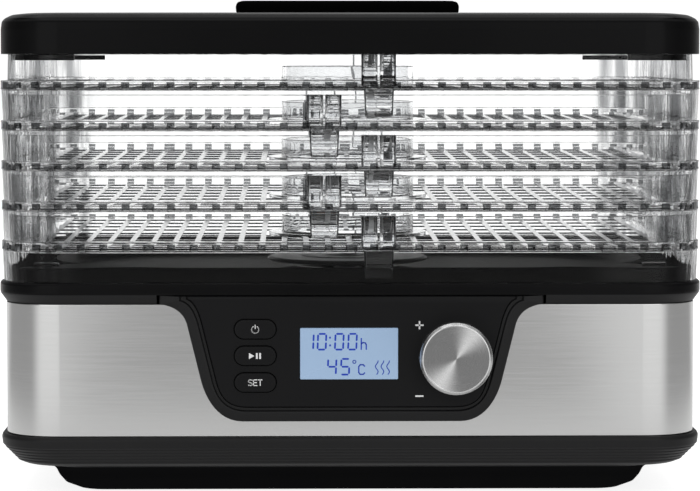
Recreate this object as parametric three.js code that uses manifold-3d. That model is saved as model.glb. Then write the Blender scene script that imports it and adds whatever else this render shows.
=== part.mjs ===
// Food dehydrator: a rectangular base with a fan and heater, five stacked clear trays and a lid.
// Millimetres, +Z up, front faces -Y. The origin is the centre of the footprint on the table.

import * as THREE from 'three';
import { mergeVertices } from 'three/addons/utils/BufferGeometryUtils.js';
import Module from 'manifold-3d';

const wasm = await Module();
wasm.setup();

// ---------------------------------------------------------------- driving dimensions

const GAP = 0.3; // clearance between pieces that touch
const BODY = { x: 170, y: 125, r: 30 }; // half width, half depth and corner radius of the widest lip
const WALL = 2.4; // plastic wall

const FOOT = { x: 118, y: 72, r: 8, height: 4 };
const TABLE = -3; // the feet stand this far below the drawing's zero
const TUB_BOTTOM = -2;
const BASE_BOTTOM = -0.8; // sets the height of the floor inside the tub
const SKIRT_TOP = 27.3;
const STEEL_TOP = 90.9;
const LIP_TOP = 101.2;
const RIM_TOP = 108.0;
const BASIN = { x: 146, y: 113, r: 72, floor: 98.3 };
const OUTLET_R = 36;

const TRAY_COUNT = 5;
const TRAY_PITCH = 19.3;
const TRAY_BAND = 4.2; // depth of the ladder band round each floor
const TRAY_INSET = 0.8; // tray outline inside the lip outline
const FIRST_BAND = LIP_TOP + TRAY_PITCH; // top of the lowest tray's band
const UPSTAND = 13; // wall that rises above each band into the next tray
const FLOOR_THICK = 2.0; // the floor lies at the bottom of the band
const RIB_PITCH = 12.25; // ribs run front to back
const SLOT_WIDTH = 3.8;
const CLIP_X = 13;
const TONGUE_OUT = 1.2; // the clip's lower tongue stands out of the skirt by this much
const COLLAR = { r: 34, wall: 2.4, height: 6.8 };

const LID_BOTTOM = FIRST_BAND + (TRAY_COUNT - 1) * TRAY_PITCH + UPSTAND - GAP;
const LID_CROWN = 231;
const GRIP_HOLE = { x: 47, y: 33, r: 20, floor: 215.2 };
const HANDLE = { x: 57.5, y: 11, top: 238, screwX: 53.2 };

const STEEL_INSET = 3.0;
const STEEL_THICK = 0.8;
const PANEL_FRONT = -125.2; // face of the control panel
const PANEL_BACK = -122.9;
const FRAME_FRONT = -125.8;
const FRAME_BACK = -117.2;
const BOARD_FRONT = -110.6;
const BUTTON = { x: -46, zs: [79.4, 66.7, 53.9], half: 10.05, r: 4.65, front: -126.4, travel: 0.8 };
const DISPLAY = { x: -1.2, z: 67.6, halfX: 23.4, halfZ: 12.3 };
const KNOB = { x: 49.5, z: 66.0, r: 17.4, front: -137.2, back: -125.7, shaftR: 3 };

const DUCT_R = 50;
const MOTOR = { r: 21, bottom: 13, top: 42 };
const FAN = { r: 45, bottom: 47, top: 59, blades: 7 };
const HEATER = { bottom: 66, top: 80, turns: 2.5 };
const POWER_BOARD = { x0: 68, x1: 142, y0: -38, y1: 38, z0: 17.6 };
const SCREW = { x: 128, y: 62 };
const INLET = { x: 96, z: 46 };

// ---------------------------------------------------------------- materials

const plastic = (color, roughness) => new THREE.MeshStandardMaterial({ color, roughness, metalness: 0 });
const metal = (color, roughness) => new THREE.MeshStandardMaterial({ color, roughness, metalness: 1 });
const BLACK_GLOSS = plastic(0x0c0c0d, 0.18);
const BLACK_SATIN = plastic(0x1a1a1b, 0.45);
const CLEAR = plastic(0xe6eaea, 0.06);
CLEAR.transparent = true;
CLEAR.opacity = 0.35;
const STEEL = metal(0xb4b4b2, 0.32);
const ALUMINIUM = metal(0xd6d6d4, 0.25);
const ZINC = metal(0x9a9b9c, 0.4);
const COPPER = metal(0xa8683a, 0.4);
const RUBBER = plastic(0x161616, 0.85);
const LENS = plastic(0xa3bcda, 0.1);
const CIRCUIT_GREEN = plastic(0x1f5a34, 0.5);
const MICA = plastic(0xb9a987, 0.6);
const WHITE_NYLON = plastic(0xdcdad2, 0.5);
const GREY = plastic(0x6d6f70, 0.5);

// ---------------------------------------------------------------- geometry helpers

const CORNER_STEPS = 4;

// Counter-clockwise rounded rectangle as a list of [x, y].
function roundedOutline(halfX, halfY, radius, steps = CORNER_STEPS) {
  const points = [];
  const corners = [[1, 1], [-1, 1], [-1, -1], [1, -1]];
  corners.forEach(([signX, signY], quarter) => {
    for (let i = 0; i <= steps; i += 1) {
      const angle = (quarter + i / steps) * Math.PI / 2;
      points.push([
        signX * (halfX - radius) + radius * Math.cos(angle),
        signY * (halfY - radius) + radius * Math.sin(angle),
      ]);
    }
  });
  return points;
}

// Skin over a list of levels { halfX, halfY, r, z }. A ring joins its last level to its first;
// otherwise the first and last levels are closed by flat caps.
function loft(levels, ring = false, steps = CORNER_STEPS) {
  const count = 4 * (steps + 1);
  const positions = levels.flatMap(({ halfX, halfY, r, z }) =>
    roundedOutline(halfX, halfY, r, steps).flatMap(([x, y]) => [x, y, z]));
  const faces = [];
  const bands = ring ? levels.length : levels.length - 1;
  for (let band = 0; band < bands; band += 1) {
    const low = band * count;
    const high = ((band + 1) % levels.length) * count;
    for (let i = 0; i < count; i += 1) {
      const next = (i + 1) % count;
      faces.push(low + i, low + next, high + next, low + i, high + next, high + i);
    }
  }
  if (!ring) {
    for (const [level, flip] of [[0, true], [levels.length - 1, false]]) {
      const centre = positions.length / 3;
      positions.push(0, 0, levels[level].z);
      for (let i = 0; i < count; i += 1) {
        const a = level * count + i;
        const b = level * count + (i + 1) % count;
        faces.push(centre, flip ? b : a, flip ? a : b);
      }
    }
  }
  const geometry = new THREE.BufferGeometry();
  geometry.setAttribute('position', new THREE.Float32BufferAttribute(positions, 3));
  geometry.setIndex(faces);
  return facingOut(geometry);
}

// Turns a closed surface the right way out, judged by the sign of its volume.
function facingOut(geometry) {
  const position = geometry.getAttribute('position');
  const index = geometry.getIndex().array;
  const a = new THREE.Vector3();
  const b = new THREE.Vector3();
  const c = new THREE.Vector3();
  let volume = 0;
  for (let i = 0; i < index.length; i += 3) {
    a.fromBufferAttribute(position, index[i]);
    b.fromBufferAttribute(position, index[i + 1]);
    c.fromBufferAttribute(position, index[i + 2]);
    volume += a.dot(b.cross(c));
  }
  if (volume < 0) {
    for (let i = 0; i < index.length; i += 3) {
      [index[i], index[i + 1]] = [index[i + 1], index[i]];
    }
  }
  return geometry;
}

// Level whose outline lies a given inset inside the body's lip. The corner radius follows the
// inset unless it is stated.
function level(inset, z, r = Math.max(BODY.r - inset, 4)) {
  return { halfX: BODY.x - inset, halfY: BODY.y - inset, r, z };
}

function toSolid(geometry) {
  const bare = geometry.clone();
  for (const name of ['normal', 'uv']) bare.deleteAttribute(name);
  const merged = mergeVertices(bare, 1e-4);
  const solid = new wasm.Manifold(new wasm.Mesh({
    numProp: 3,
    vertProperties: new Float32Array(merged.getAttribute('position').array),
    triVerts: new Uint32Array(merged.getIndex().array),
  }));
  return solid;
}

function toGeometry(solid) {
  const mesh = solid.getMesh();
  const geometry = new THREE.BufferGeometry();
  geometry.setAttribute('position', new THREE.BufferAttribute(new Float32Array(mesh.vertProperties), 3));
  geometry.setIndex(new THREE.BufferAttribute(new Uint32Array(mesh.triVerts), 1));
  return geometry;
}

function join(geometries) {
  return toGeometry(geometries.map(toSolid).reduce((sum, solid) => sum.add(solid)));
}

function cut(geometry, tools) {
  return toGeometry(tools.map(toSolid).reduce((rest, tool) => rest.subtract(tool), toSolid(geometry)));
}

// Box from its lowest to its highest corner.
function block(low, high) {
  const size = high.map((value, i) => value - low[i]);
  const centre = high.map((value, i) => (value + low[i]) / 2);
  return new THREE.BoxGeometry(...size).translate(...centre);
}

// Cylinder along Z from z0 to z1.
function post(x, y, z0, z1, r, sides = 16) {
  return new THREE.CylinderGeometry(r, r, z1 - z0, sides).rotateX(Math.PI / 2).translate(x, y, (z0 + z1) / 2);
}

// Cylinder along Y from y0 to y1.
function rod(x, z, y0, y1, r, sides = 16) {
  return new THREE.CylinderGeometry(r, r, y1 - y0, sides).translate(x, (y0 + y1) / 2, z);
}

// Turned piece about Z from a profile of [radius, height] points.
function turned(profile, sides = 32) {
  const points = profile.map(([r, h]) => new THREE.Vector2(r, h));
  return facingOut(mergeVertices(bareLathe(points, sides), 1e-4)).rotateX(Math.PI / 2);
}

function bareLathe(points, sides) {
  const geometry = new THREE.LatheGeometry(points, sides);
  for (const name of ['normal', 'uv']) geometry.deleteAttribute(name);
  return geometry;
}

// Prism of an outline in the XZ plane, from y0 to y1.
function panelPrism(shape, y0, y1, curveSegments = 6) {
  const geometry = new THREE.ExtrudeGeometry(shape, { depth: y1 - y0, bevelEnabled: false, curveSegments });
  return geometry.rotateX(Math.PI / 2).translate(0, y1, 0);
}

function shapeOf(points) {
  return new THREE.Shape(points.map(([x, y]) => new THREE.Vector2(x, y)));
}

function roundedShape(x, z, halfX, halfZ, r) {
  return shapeOf(roundedOutline(halfX, halfZ, r, 4).map(([px, pz]) => [px + x, pz + z]));
}

// ---------------------------------------------------------------- base shells

// Dark lower tub: rounded lip, tapering sides, an inset plinth and the air intake grille.
function bottomCover() {
  const outside = [
    level(36.5, TUB_BOTTOM, 14), level(30, 0.6, 17), level(27, 4.2, 19), level(25.2, 8.2, 19.5),
    level(21, 10.8, 20), level(11, 12.4, 22), level(7.8, 14.6, 23.5), level(3.2, 20.4),
    level(0.7, 22.4), level(0.4, 25.8), level(1.4, SKIRT_TOP),
  ];
  const inside = [
    level(6.7, SKIRT_TOP), level(6.7, 33.4), level(8.6, 33.4), level(9, 22.6),
    level(12.4, 16.2, 20), level(27.6, 13.6, 18), level(29.6, 3.4, 17), level(33, BASE_BOTTOM + WALL + 0.2, 15),
  ];
  const tub = loft([...outside, ...inside]);
  const inFloor = BASE_BOTTOM + 0.8;
  const footTop = TABLE + FOOT.height + GAP;
  const footBosses = eachCorner(FOOT.x, FOOT.y, (x, y) => post(x, y, inFloor, footTop + 2.9, FOOT.r + WALL, 10));
  const screwTubes = eachCorner(SCREW.x, SCREW.y, (x, y) => post(x, y, inFloor, 50, 5.6, 8));
  const standoffs = boardCorners().map(([x, y]) => post(x, y, inFloor, POWER_BOARD.z0 - GAP, 3, 6));
  const footSockets = eachCorner(FOOT.x, FOOT.y, (x, y) => post(x, y, TABLE, footTop, FOOT.r + GAP + 0.2, 10));
  const screwBores = eachCorner(SCREW.x, SCREW.y, (x, y) => post(x, y, TABLE, 60, 2.2, 8));
  const screwHeads = eachCorner(SCREW.x, SCREW.y, (x, y) => post(x, y, TABLE, 12, 4.2, 8));
  return cut(
    join([tub, ...footBosses, ...screwTubes, ...standoffs]),
    [...footSockets, ...screwBores, ...screwHeads, ...intakeSlots()],
  );
}

function eachCorner(x, y, make) {
  return [[x, y], [-x, y], [-x, -y], [x, -y]].map(([px, py]) => make(px, py));
}

// Parallel slots clipped to a circle below the fan.
function intakeSlots() {
  const slots = [];
  const pitch = 12;
  for (let i = -3; i <= 3; i += 1) {
    const half = Math.sqrt(FAN.r ** 2 - (i * pitch) ** 2) - 2;
    slots.push(block([i * pitch - 3, -half, TABLE], [i * pitch + 3, half, 6]));
  }
  return slots;
}

// Brushed wrap round the base, open at the front for the control panel.
function steelBand() {
  const low = SKIRT_TOP + GAP;
  const inner = STEEL_INSET + STEEL_THICK;
  const band = loft([
    level(STEEL_INSET, low), level(STEEL_INSET, STEEL_TOP), level(inner, STEEL_TOP), level(inner, low),
  ], true);
  return cut(band, [panelOpening(), inletHole()]);
}

// Structural ring behind the wrap.
function bodyFrame() {
  const low = SKIRT_TOP + GAP;
  const outer = STEEL_INSET + STEEL_THICK + GAP;
  const ring = loft([
    level(outer, low), level(outer, STEEL_TOP), level(outer + 2.1, STEEL_TOP), level(outer + 2.1, low),
  ], true);
  return cut(ring, [panelOpening(), inletHole()]);
}

function panelOpening() {
  return panelPrism(fasciaShape(3.2, STEEL_TOP + 4), -BODY.y - 5, -BODY.y + 12);
}

function inletHole() {
  return rod(INLET.x, INLET.z, BODY.y - 12, BODY.y + 5, 6.4);
}

// Top moulding: outer lip with a bevel below, a raised rim that locates the lowest tray, a
// shallow basin with large corners, and the round air outlet with a spider that carries the cap.
function topHousing() {
  const basinLevel = (grow, z) => ({ halfX: BASIN.x + grow, halfY: BASIN.y + grow, r: BASIN.r + grow, z });
  const shell = loft([
    level(8.8, 86), level(6.7, 86), level(6.7, 91.2), level(3.2, 91.2), level(0.3, 95), level(0, 96.2),
    level(0, 99.6), level(0.9, LIP_TOP), level(4.1, LIP_TOP), level(4.4, 107.3), level(5.2, RIM_TOP),
    basinLevel(0, RIM_TOP), basinLevel(-4, BASIN.floor + 0.8), basinLevel(-6, BASIN.floor),
  ]);
  const hollow = loft([
    level(8.8, 80), level(8.8, RIM_TOP - WALL), basinLevel(WALL, RIM_TOP - WALL),
    basinLevel(-2, BASIN.floor - WALL), basinLevel(-6, BASIN.floor - WALL),
  ]);
  const spoke = block([-OUTLET_R - 2, -1.6, BASIN.floor - WALL], [OUTLET_R + 2, 1.6, BASIN.floor]);
  const spokes = [1, 3].map((eighths) => spoke.clone().rotateZ(eighths * Math.PI / 4));
  const boss = post(0, 0, BASIN.floor - WALL - 3, BASIN.floor + 1.4, 7.5);
  const lugs = eachCorner(147, 103, (x, y) =>
    block([x - 6, y - 3, RIM_TOP - 1], [x + 6, y + 3, RIM_TOP + 1.6]));
  const screwBosses = eachCorner(SCREW.x, SCREW.y, (x, y) => post(x, y, 50 + GAP, BASIN.floor - 1, 4.8, 8));
  const screwBores = eachCorner(SCREW.x, SCREW.y, (x, y) => post(x, y, 40, 66, 2.2, 8));
  const ventedShell = cut(shell, [hollow, post(0, 0, 80, 120, OUTLET_R, 24)]);
  const notch = block([-93, -BODY.y - 2, 80], [93, -BODY.y + 9.1, 95.6]);
  return cut(
    join([ventedShell, ...spokes, boss, ...lugs, ...screwBosses]),
    [notch, ...screwBores, post(0, 0, 80, 120, 2.4, 12)],
  );
}

// Deflector disc over the outlet, on a short stalk.
function airCap() {
  const low = RIM_TOP - 4.6;
  const top = RIM_TOP - 2.3;
  return turned([
    [2.4, BASIN.floor + 1.4 + GAP], [6, BASIN.floor + 1.4 + GAP], [6.6, low], [39.6, low], [41.2, low + 0.6],
    [41.2, top - 0.9], [40, top], [10.7, top], [10.2, top + 0.9], [2.4, top + 0.9],
    [2.4, BASIN.floor + 1.4 + GAP],
  ], 28);
}

function capScrew() {
  const seat = RIM_TOP - 1.4 + GAP;
  return turned([
    [0, BASIN.floor - 4], [2, BASIN.floor - 4], [2, seat], [5, seat], [4.4, seat + 1.7], [2.4, seat + 2.8],
    [0, seat + 3.1],
  ], 16);
}

function foot(x, y) {
  const profile = [[0, 0], [FOOT.r - 0.8, 0], [FOOT.r, 0.8], [FOOT.r, FOOT.height], [0, FOOT.height]];
  return turned(profile, 14).translate(x, y, TABLE);
}

function baseScrew(x, y) {
  const profile = [[0, 9.2], [3.4, 9.2], [3.7, 11.7], [1.75, 11.7], [1.75, 64], [0, 64]];
  return turned(profile, 12).translate(x, y, 0);
}

function cordInlet() {
  const rear = BODY.y - STEEL_INSET + GAP;
  const sleeve = turned([[3.6, -9], [5.9, -9], [5.9, 0], [8.6, 0], [8.2, 2.2], [3.6, 2.2], [3.6, -9]], 20);
  return sleeve.rotateX(-Math.PI / 2).translate(INLET.x, rear, INLET.z);
}

// ---------------------------------------------------------------- control panel

// Trapezoid with flared upper ends and rounded lower corners, drawn a given inset inside its
// outer edge, closed at the stated top height.
function fasciaShape(inset, top) {
  const side = (z) => 71.6 + (z - 53) * 0.247 - 1.03 * inset;
  const bottom = 34.9 + inset;
  const flareX = 91.8 - 1.9 * inset;
  const flareZ = Math.min(91.2 + 0.35 * inset, top - 0.2);
  const shape = new THREE.Shape();
  shape.moveTo(flareX, top);
  shape.lineTo(-flareX, top);
  shape.lineTo(-flareX, flareZ);
  shape.quadraticCurveTo(-side(91) - 0.4, flareZ - 1.2, -side(82), 82);
  shape.lineTo(-side(55), 55);
  shape.bezierCurveTo(-side(46), 46, -64 + 0.7 * inset, bottom, -52 + 0.4 * inset, bottom);
  shape.lineTo(52 - 0.4 * inset, bottom);
  shape.bezierCurveTo(64 - 0.7 * inset, bottom, side(46), 46, side(55), 55);
  shape.lineTo(side(82), 82);
  shape.quadraticCurveTo(side(91) + 0.4, flareZ - 1.2, flareX, flareZ);
  return shape;
}

function buttonOpening(z, grow) {
  return roundedShape(BUTTON.x, z, BUTTON.half + grow, BUTTON.r + grow, BUTTON.r + grow - 0.01);
}

function controlOpenings(grow, y0, y1) {
  const buttons = BUTTON.zs.map((z) => panelPrism(buttonOpening(z, grow), y0, y1));
  const window = block(
    [DISPLAY.x - DISPLAY.halfX - grow, y0, DISPLAY.z - DISPLAY.halfZ - grow],
    [DISPLAY.x + DISPLAY.halfX + grow, y1, DISPLAY.z + DISPLAY.halfZ + grow],
  );
  return [...buttons, window, rod(KNOB.x, KNOB.z, y0, y1, KNOB.shaftR + 1)];
}

// Frame with a plug that fills the opening in the wrap, a recess for the face and four board bosses.
function fasciaFrame() {
  const rim = panelPrism(fasciaShape(0, 95.3), FRAME_FRONT, -BODY.y + STEEL_INSET - GAP);
  const plug = panelPrism(fasciaShape(3.8, 94.6), -BODY.y + STEEL_INSET - 1, FRAME_BACK);
  const recess = panelPrism(fasciaShape(6.8, 94.9), FRAME_FRONT - 1, PANEL_BACK + GAP);
  const bosses = [[-62, 86], [62, 86], [-56, 44.6], [56, 44.6]].map(([x, z]) =>
    rod(x, z, FRAME_BACK - 1, BOARD_FRONT - GAP, 3, 8));
  return cut(join([rim, plug, ...bosses]), [recess, ...controlOpenings(0.6, -130, -110)]);
}

function facePanel() {
  return cut(panelPrism(fasciaShape(7.1, 94.6), PANEL_FRONT, PANEL_BACK), controlOpenings(GAP, -130, -120));
}

function displayWindow() {
  return block(
    [DISPLAY.x - DISPLAY.halfX, PANEL_FRONT, DISPLAY.z - DISPLAY.halfZ],
    [DISPLAY.x + DISPLAY.halfX, PANEL_FRONT + 1.6, DISPLAY.z + DISPLAY.halfZ],
  );
}

function lcdModule() {
  return block(
    [DISPLAY.x - DISPLAY.halfX, PANEL_FRONT + 1.6 + GAP, DISPLAY.z - DISPLAY.halfZ],
    [DISPLAY.x + DISPLAY.halfX, BOARD_FRONT - GAP, DISPLAY.z + DISPLAY.halfZ],
  );
}

// Pill key with a rear flange that keeps it in the frame.
function buttonKey(z) {
  const pill = panelPrism(buttonOpening(z, 0), BUTTON.front, FRAME_BACK + GAP + 0.1);
  const flange = panelPrism(roundedShape(BUTTON.x, z, BUTTON.half + 1.3, BUTTON.r + 1.2, 3), FRAME_BACK + GAP,
    FRAME_BACK + GAP + 1);
  return join([pill, flange]);
}

function keySwitch(z) {
  return block([BUTTON.x - 3, BOARD_FRONT - 4, z - 3], [BUTTON.x + 3, BOARD_FRONT - GAP, z + 3]);
}

// Boards and the knob stand on the panel's own axes, so a turned piece is laid along -Y.
function alongFront(geometry, x, y, z) {
  return geometry.rotateX(Math.PI / 2).translate(x, y, z);
}

function knobCap() {
  const depth = KNOB.back - KNOB.front;
  return alongFront(turned([
    [16.1, 0], [KNOB.r, 0], [KNOB.r, depth - 1.6], [KNOB.r - 0.9, depth - 0.3], [KNOB.r - 1.6, depth],
    [0, depth - 0.3], [0, depth - 1.5], [16.1, depth - 1.5], [16.1, 0],
  ], 30), KNOB.x, KNOB.back, KNOB.z);
}

function knobCore() {
  const depth = KNOB.back - KNOB.front - 1.5 - GAP;
  return alongFront(turned([
    [KNOB.shaftR + GAP, 0.2], [15.8, 0.2], [15.8, depth], [0, depth], [0, depth - 2],
    [KNOB.shaftR + GAP, depth - 2], [KNOB.shaftR + GAP, 0.2],
  ], 24), KNOB.x, KNOB.back, KNOB.z);
}

function encoderShaft() {
  return rod(KNOB.x, KNOB.z, KNOB.front + 1.5 + GAP + 2 + GAP, BOARD_FRONT - 6.9, KNOB.shaftR, 14);
}

function encoderBody() {
  return block([KNOB.x - 6, BOARD_FRONT - 6.6, KNOB.z - 6], [KNOB.x + 6, BOARD_FRONT - GAP, KNOB.z + 6]);
}

function controlBoard() {
  return block([-68, BOARD_FRONT, 43], [86, BOARD_FRONT + 1.6, 88.5]);
}

// ---------------------------------------------------------------- fan, heater and electronics

function boardCorners() {
  const { x0, x1, y0, y1 } = POWER_BOARD;
  return [[x0 + 5, y0 + 5], [x1 - 5, y0 + 5], [x0 + 5, y1 - 5], [x1 - 5, y1 - 5]];
}

function airDuct() {
  const low = BASE_BOTTOM + WALL + 1;
  const top = BASIN.floor - WALL - 3 - GAP;
  return turned([
    [DUCT_R - WALL, low], [DUCT_R, low], [DUCT_R, top], [DUCT_R - WALL, top], [DUCT_R - WALL, low],
  ], 32);
}

// Ring that stands on the floor, with a cross under the motor.
function motorBracket() {
  const low = BASE_BOTTOM + WALL + 0.2 + GAP;
  const top = MOTOR.bottom - GAP;
  const ring = turned([[43, low], [47, low], [47, top], [43, top], [43, low]], 24);
  const arms = [1, 3].map((eighths) => block([-44, -3, top - 3.5], [44, 3, top]).rotateZ(eighths * Math.PI / 4));
  return join([ring, ...arms]);
}

function fanMotor() {
  return turned([
    [0, MOTOR.bottom], [MOTOR.r - 1.5, MOTOR.bottom], [MOTOR.r, MOTOR.bottom + 1.5], [MOTOR.r, MOTOR.top - 4],
    [MOTOR.r - 5, MOTOR.top - 2], [5, MOTOR.top - 2], [5, MOTOR.top], [0, MOTOR.top],
  ], 24);
}

function motorShaft() {
  return post(0, 0, MOTOR.top + GAP, FAN.top - 2 - GAP, 1.6, 10);
}

// Axial impeller: a domed hub and pitched blades.
function fanImpeller() {
  const hub = turned([
    [1.9, FAN.bottom], [13, FAN.bottom], [13, FAN.top - 3], [9, FAN.top], [0, FAN.top], [0, FAN.top - 2],
    [1.9, FAN.top - 2], [1.9, FAN.bottom],
  ], 21);
  const root = 12;
  const blades = Array.from({ length: FAN.blades }, (_, i) => new THREE.BoxGeometry(FAN.r - root, 15, 1.4)
    .rotateX(0.62).translate((FAN.r + root) / 2, 0, (FAN.bottom + FAN.top) / 2 - 0.5)
    .rotateZ(i * 2 * Math.PI / FAN.blades));
  return join([hub, ...blades]);
}

function heaterFrame() {
  const plates = [0, 1].map((i) => block([-DUCT_R + 4, -0.6, HEATER.bottom], [DUCT_R - 4, 0.6, HEATER.top])
    .rotateZ(i * Math.PI / 2));
  return join(plates);
}

// Flat spiral of resistance wire that lies on the frame's upper edges.
class Spiral extends THREE.Curve {
  getPoint(t) {
    const angle = t * HEATER.turns * 2 * Math.PI;
    const radius = 13 + 25 * t;
    return new THREE.Vector3(radius * Math.cos(angle), radius * Math.sin(angle), HEATER.top + GAP + 1.3);
  }
}

function heaterCoil() {
  return sweep(new Spiral(), 1.2, 5, 32);
}

function sweep(path, radius, sides, steps) {
  const ringPoints = Array.from({ length: sides }, (_, i) => {
    const angle = (i / sides) * 2 * Math.PI;
    return [radius * Math.cos(angle), radius * Math.sin(angle)];
  });
  return new THREE.ExtrudeGeometry(shapeOf(ringPoints), { steps, bevelEnabled: false, extrudePath: path });
}

function thermalFuse() {
  return new THREE.CylinderGeometry(2, 2, 14, 10).translate(-30, 0, 0).rotateZ(0.6)
    .translate(0, 0, HEATER.top + 8);
}

function temperatureSensor() {
  return join([post(24, 14, HEATER.top + 4, BASIN.floor - WALL - GAP, 1.3, 8), post(24, 14, HEATER.top + 3.4,
    HEATER.top + 7.4, 2.2, 8)]);
}

function powerBoard() {
  const { x0, x1, y0, y1, z0 } = POWER_BOARD;
  return block([x0, y0, z0], [x1, y1, z0 + 1.6]);
}

const BOARD_TOP = POWER_BOARD.z0 + 1.6 + GAP;

function transformer() {
  const core = block([104, -20, BOARD_TOP], [134, 4, BOARD_TOP + 22]);
  const coil = block([100, -16, BOARD_TOP + 3], [138, 0, BOARD_TOP + 19]);
  return join([core, coil]);
}

function relay() {
  return block([76, -22, BOARD_TOP], [92, -2, BOARD_TOP + 16]);
}

function capacitor() {
  return turned([[0, 0], [6, 0], [6, 19], [5.4, 20], [0, 20]], 14).translate(86, 16, BOARD_TOP);
}

function terminalBlock() {
  return block([106, 24, BOARD_TOP], [136, 34, BOARD_TOP + 12]);
}

// Flat cable from the control board down and back to the power board.
function ribbonCable() {
  const start = BOARD_FRONT + 1.6 + GAP;
  const outer = [[start, 51], [-103, 51], [-103, 26], [-36, 26], [-32, BOARD_TOP]];
  const inner = [[-31, BOARD_TOP], [-35.4, 27], [-102, 27], [-102, 52], [start, 52]];
  const strip = new THREE.ExtrudeGeometry(shapeOf([...outer, ...inner]), { depth: 12, bevelEnabled: false });
  return strip.rotateX(Math.PI / 2).rotateZ(Math.PI / 2).translate(70, 0, 0);
}

// ---------------------------------------------------------------- trays

// One clear tray about the top of its band: a skirt below the band, an upstand above it, a
// slotted floor at the band's foot with a centre collar, and a clip at the front and the rear.
function tray() {
  const at = (inset, z) => level(TRAY_INSET + inset, z);
  const skirtFoot = -TRAY_PITCH + GAP;
  const floorTop = -TRAY_BAND + FLOOR_THICK;
  const ring = loft([
    at(1, skirtFoot), at(0, -TRAY_BAND), at(0, 0), at(3.3, 0), at(3.6, UPSTAND - GAP), at(5.2, UPSTAND - GAP),
    at(4.9, floorTop), at(12, floorTop), at(12, -TRAY_BAND), at(1.9, -TRAY_BAND), at(2.8, skirtFoot),
  ], true);
  const floor = loft([at(10, -TRAY_BAND), at(10, floorTop)]);
  const collar = post(0, 0, -TRAY_BAND, COLLAR.height, COLLAR.r, 20);
  const wallY = BODY.y - TRAY_INSET;
  const slab = (halfX, side, insetFrom, insetTo, z0, z1) => {
    const ys = [side * (wallY - insetFrom), side * (wallY - insetTo)].sort((a, b) => a - b);
    return block([CLIP_X - halfX, ys[0], z0], [CLIP_X + halfX, ys[1], z1]);
  };
  const clips = [-1, 1].flatMap((side) => [
    slab(8.4, side, 4, 8.6, floorTop - 0.5, UPSTAND - GAP),
    slab(7.2, side, -TONGUE_OUT, 1.2, -TRAY_BAND - 12.8, -TRAY_BAND + 0.6),
  ]);
  const clipSlots = [-1, 1].map((side) => slab(3.6, side, 2, 10.2, 5.5, UPSTAND + 2));
  const bore = post(0, 0, -10, 12, COLLAR.r - COLLAR.wall, 20);
  return cut(join([ring, floor, collar, ...clips]), [bore, ...clipSlots, ...floorSlots()]);
}

// Slots front to back, one beside each rib, on both sides of a cross rib and clear of the collar.
function floorSlots() {
  const slots = [];
  const columns = 12;
  const keepOut = COLLAR.r + 4;
  for (let column = 0; column < columns; column += 1) {
    const x = (column + 0.5) * RIB_PITCH;
    const nearY = x < keepOut ? Math.sqrt(keepOut ** 2 - (x - SLOT_WIDTH / 2) ** 2) : 3;
    const farY = column > columns - 3 ? 94 : 108;
    for (const [sideX, sideY] of [[1, 1], [1, -1], [-1, 1], [-1, -1]]) {
      const ys = [sideY * nearY, sideY * farY].sort((a, b) => a - b);
      slots.push(block([sideX * x - SLOT_WIDTH / 2, ys[0], -10], [sideX * x + SLOT_WIDTH / 2, ys[1], 5]));
    }
  }
  return slots;
}

// ---------------------------------------------------------------- lid

// Domed lid: its ledge rests on the top tray's upstand, a rib below locates it, and a deep oval
// hollow under the handle makes room for the fingers.
function lid() {
  const edge = LID_BOTTOM;
  const shell = loft([
    level(60, LID_CROWN, 24), level(14, 230, 20), level(6, 229, 25), level(2.2, 226.6), level(1, 222.4),
    level(1, edge), level(3.5, edge), level(3.6, edge + 0.6), level(7, edge + 0.6), level(7, edge - 3),
    level(8.6, edge - 3), level(8.6, edge + 2.6), level(3.6, edge + 3.4), level(3.6, 222), level(8, 226.4, 22),
    level(60, LID_CROWN - WALL, 24),
  ]);
  const hollow = (grow, z, taper = 0) => ({
    halfX: GRIP_HOLE.x + grow - taper, halfY: GRIP_HOLE.y + grow - taper, r: GRIP_HOLE.r + grow - taper, z,
  });
  const cup = loft([
    hollow(WALL, GRIP_HOLE.floor - WALL + 0.4, 3), hollow(WALL, GRIP_HOLE.floor + 3), hollow(WALL, LID_CROWN - 1),
  ]);
  const fingers = loft([hollow(0, GRIP_HOLE.floor, 3), hollow(0, GRIP_HOLE.floor + 3), hollow(0, LID_CROWN + 3)]);
  // The rib stays only at the four corners.
  const ribGaps = [-1, 1].flatMap((side) => [
    block([-132, side > 0 ? 112 : -121.3, edge - 6], [132, side > 0 ? 121.3 : -112, edge + 0.6]),
    block([side > 0 ? 157 : -166.3, -82, edge - 6], [side > 0 ? 166.3 : -157, 82, edge + 0.6]),
  ]);
  const vents = [];
  for (let i = 0; i < 5; i += 1) {
    for (const side of [-1, 1]) {
      const x = side * (86 + i * 11);
      vents.push(block([x - 2, -26, 220], [x + 2, 26, 240]));
    }
  }
  const screwHoles = [-1, 1].map((side) => post(side * HANDLE.screwX, 0, 220, 240, 2, 10));
  return cut(join([shell, cup]), [fingers, ...ribGaps, ...vents, ...screwHoles]);
}

function lidHandle() {
  const bar = (inset, z) => ({ halfX: HANDLE.x - inset, halfY: HANDLE.y - inset, r: HANDLE.y - inset - 0.3, z });
  const low = LID_CROWN + GAP;
  const solid = loft([bar(1.2, low), bar(0, low + 1.4), bar(0, 235.6), bar(0.9, 237.2), bar(2.8, HANDLE.top)]);
  return cut(solid, [-1, 1].map((side) => post(side * HANDLE.screwX, 0, low - 1, low + 4, 1.8, 10)));
}

function handleScrew(side) {
  const seat = LID_CROWN - WALL - GAP;
  return turned([[0, seat - 2.4], [2.4, seat - 2.4], [3.1, seat], [1.5, seat], [1.5, seat + 6], [0, seat + 6]], 12)
    .translate(side * HANDLE.screwX, 0, 0);
}

// ---------------------------------------------------------------- assembly

const group = new THREE.Group();
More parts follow.
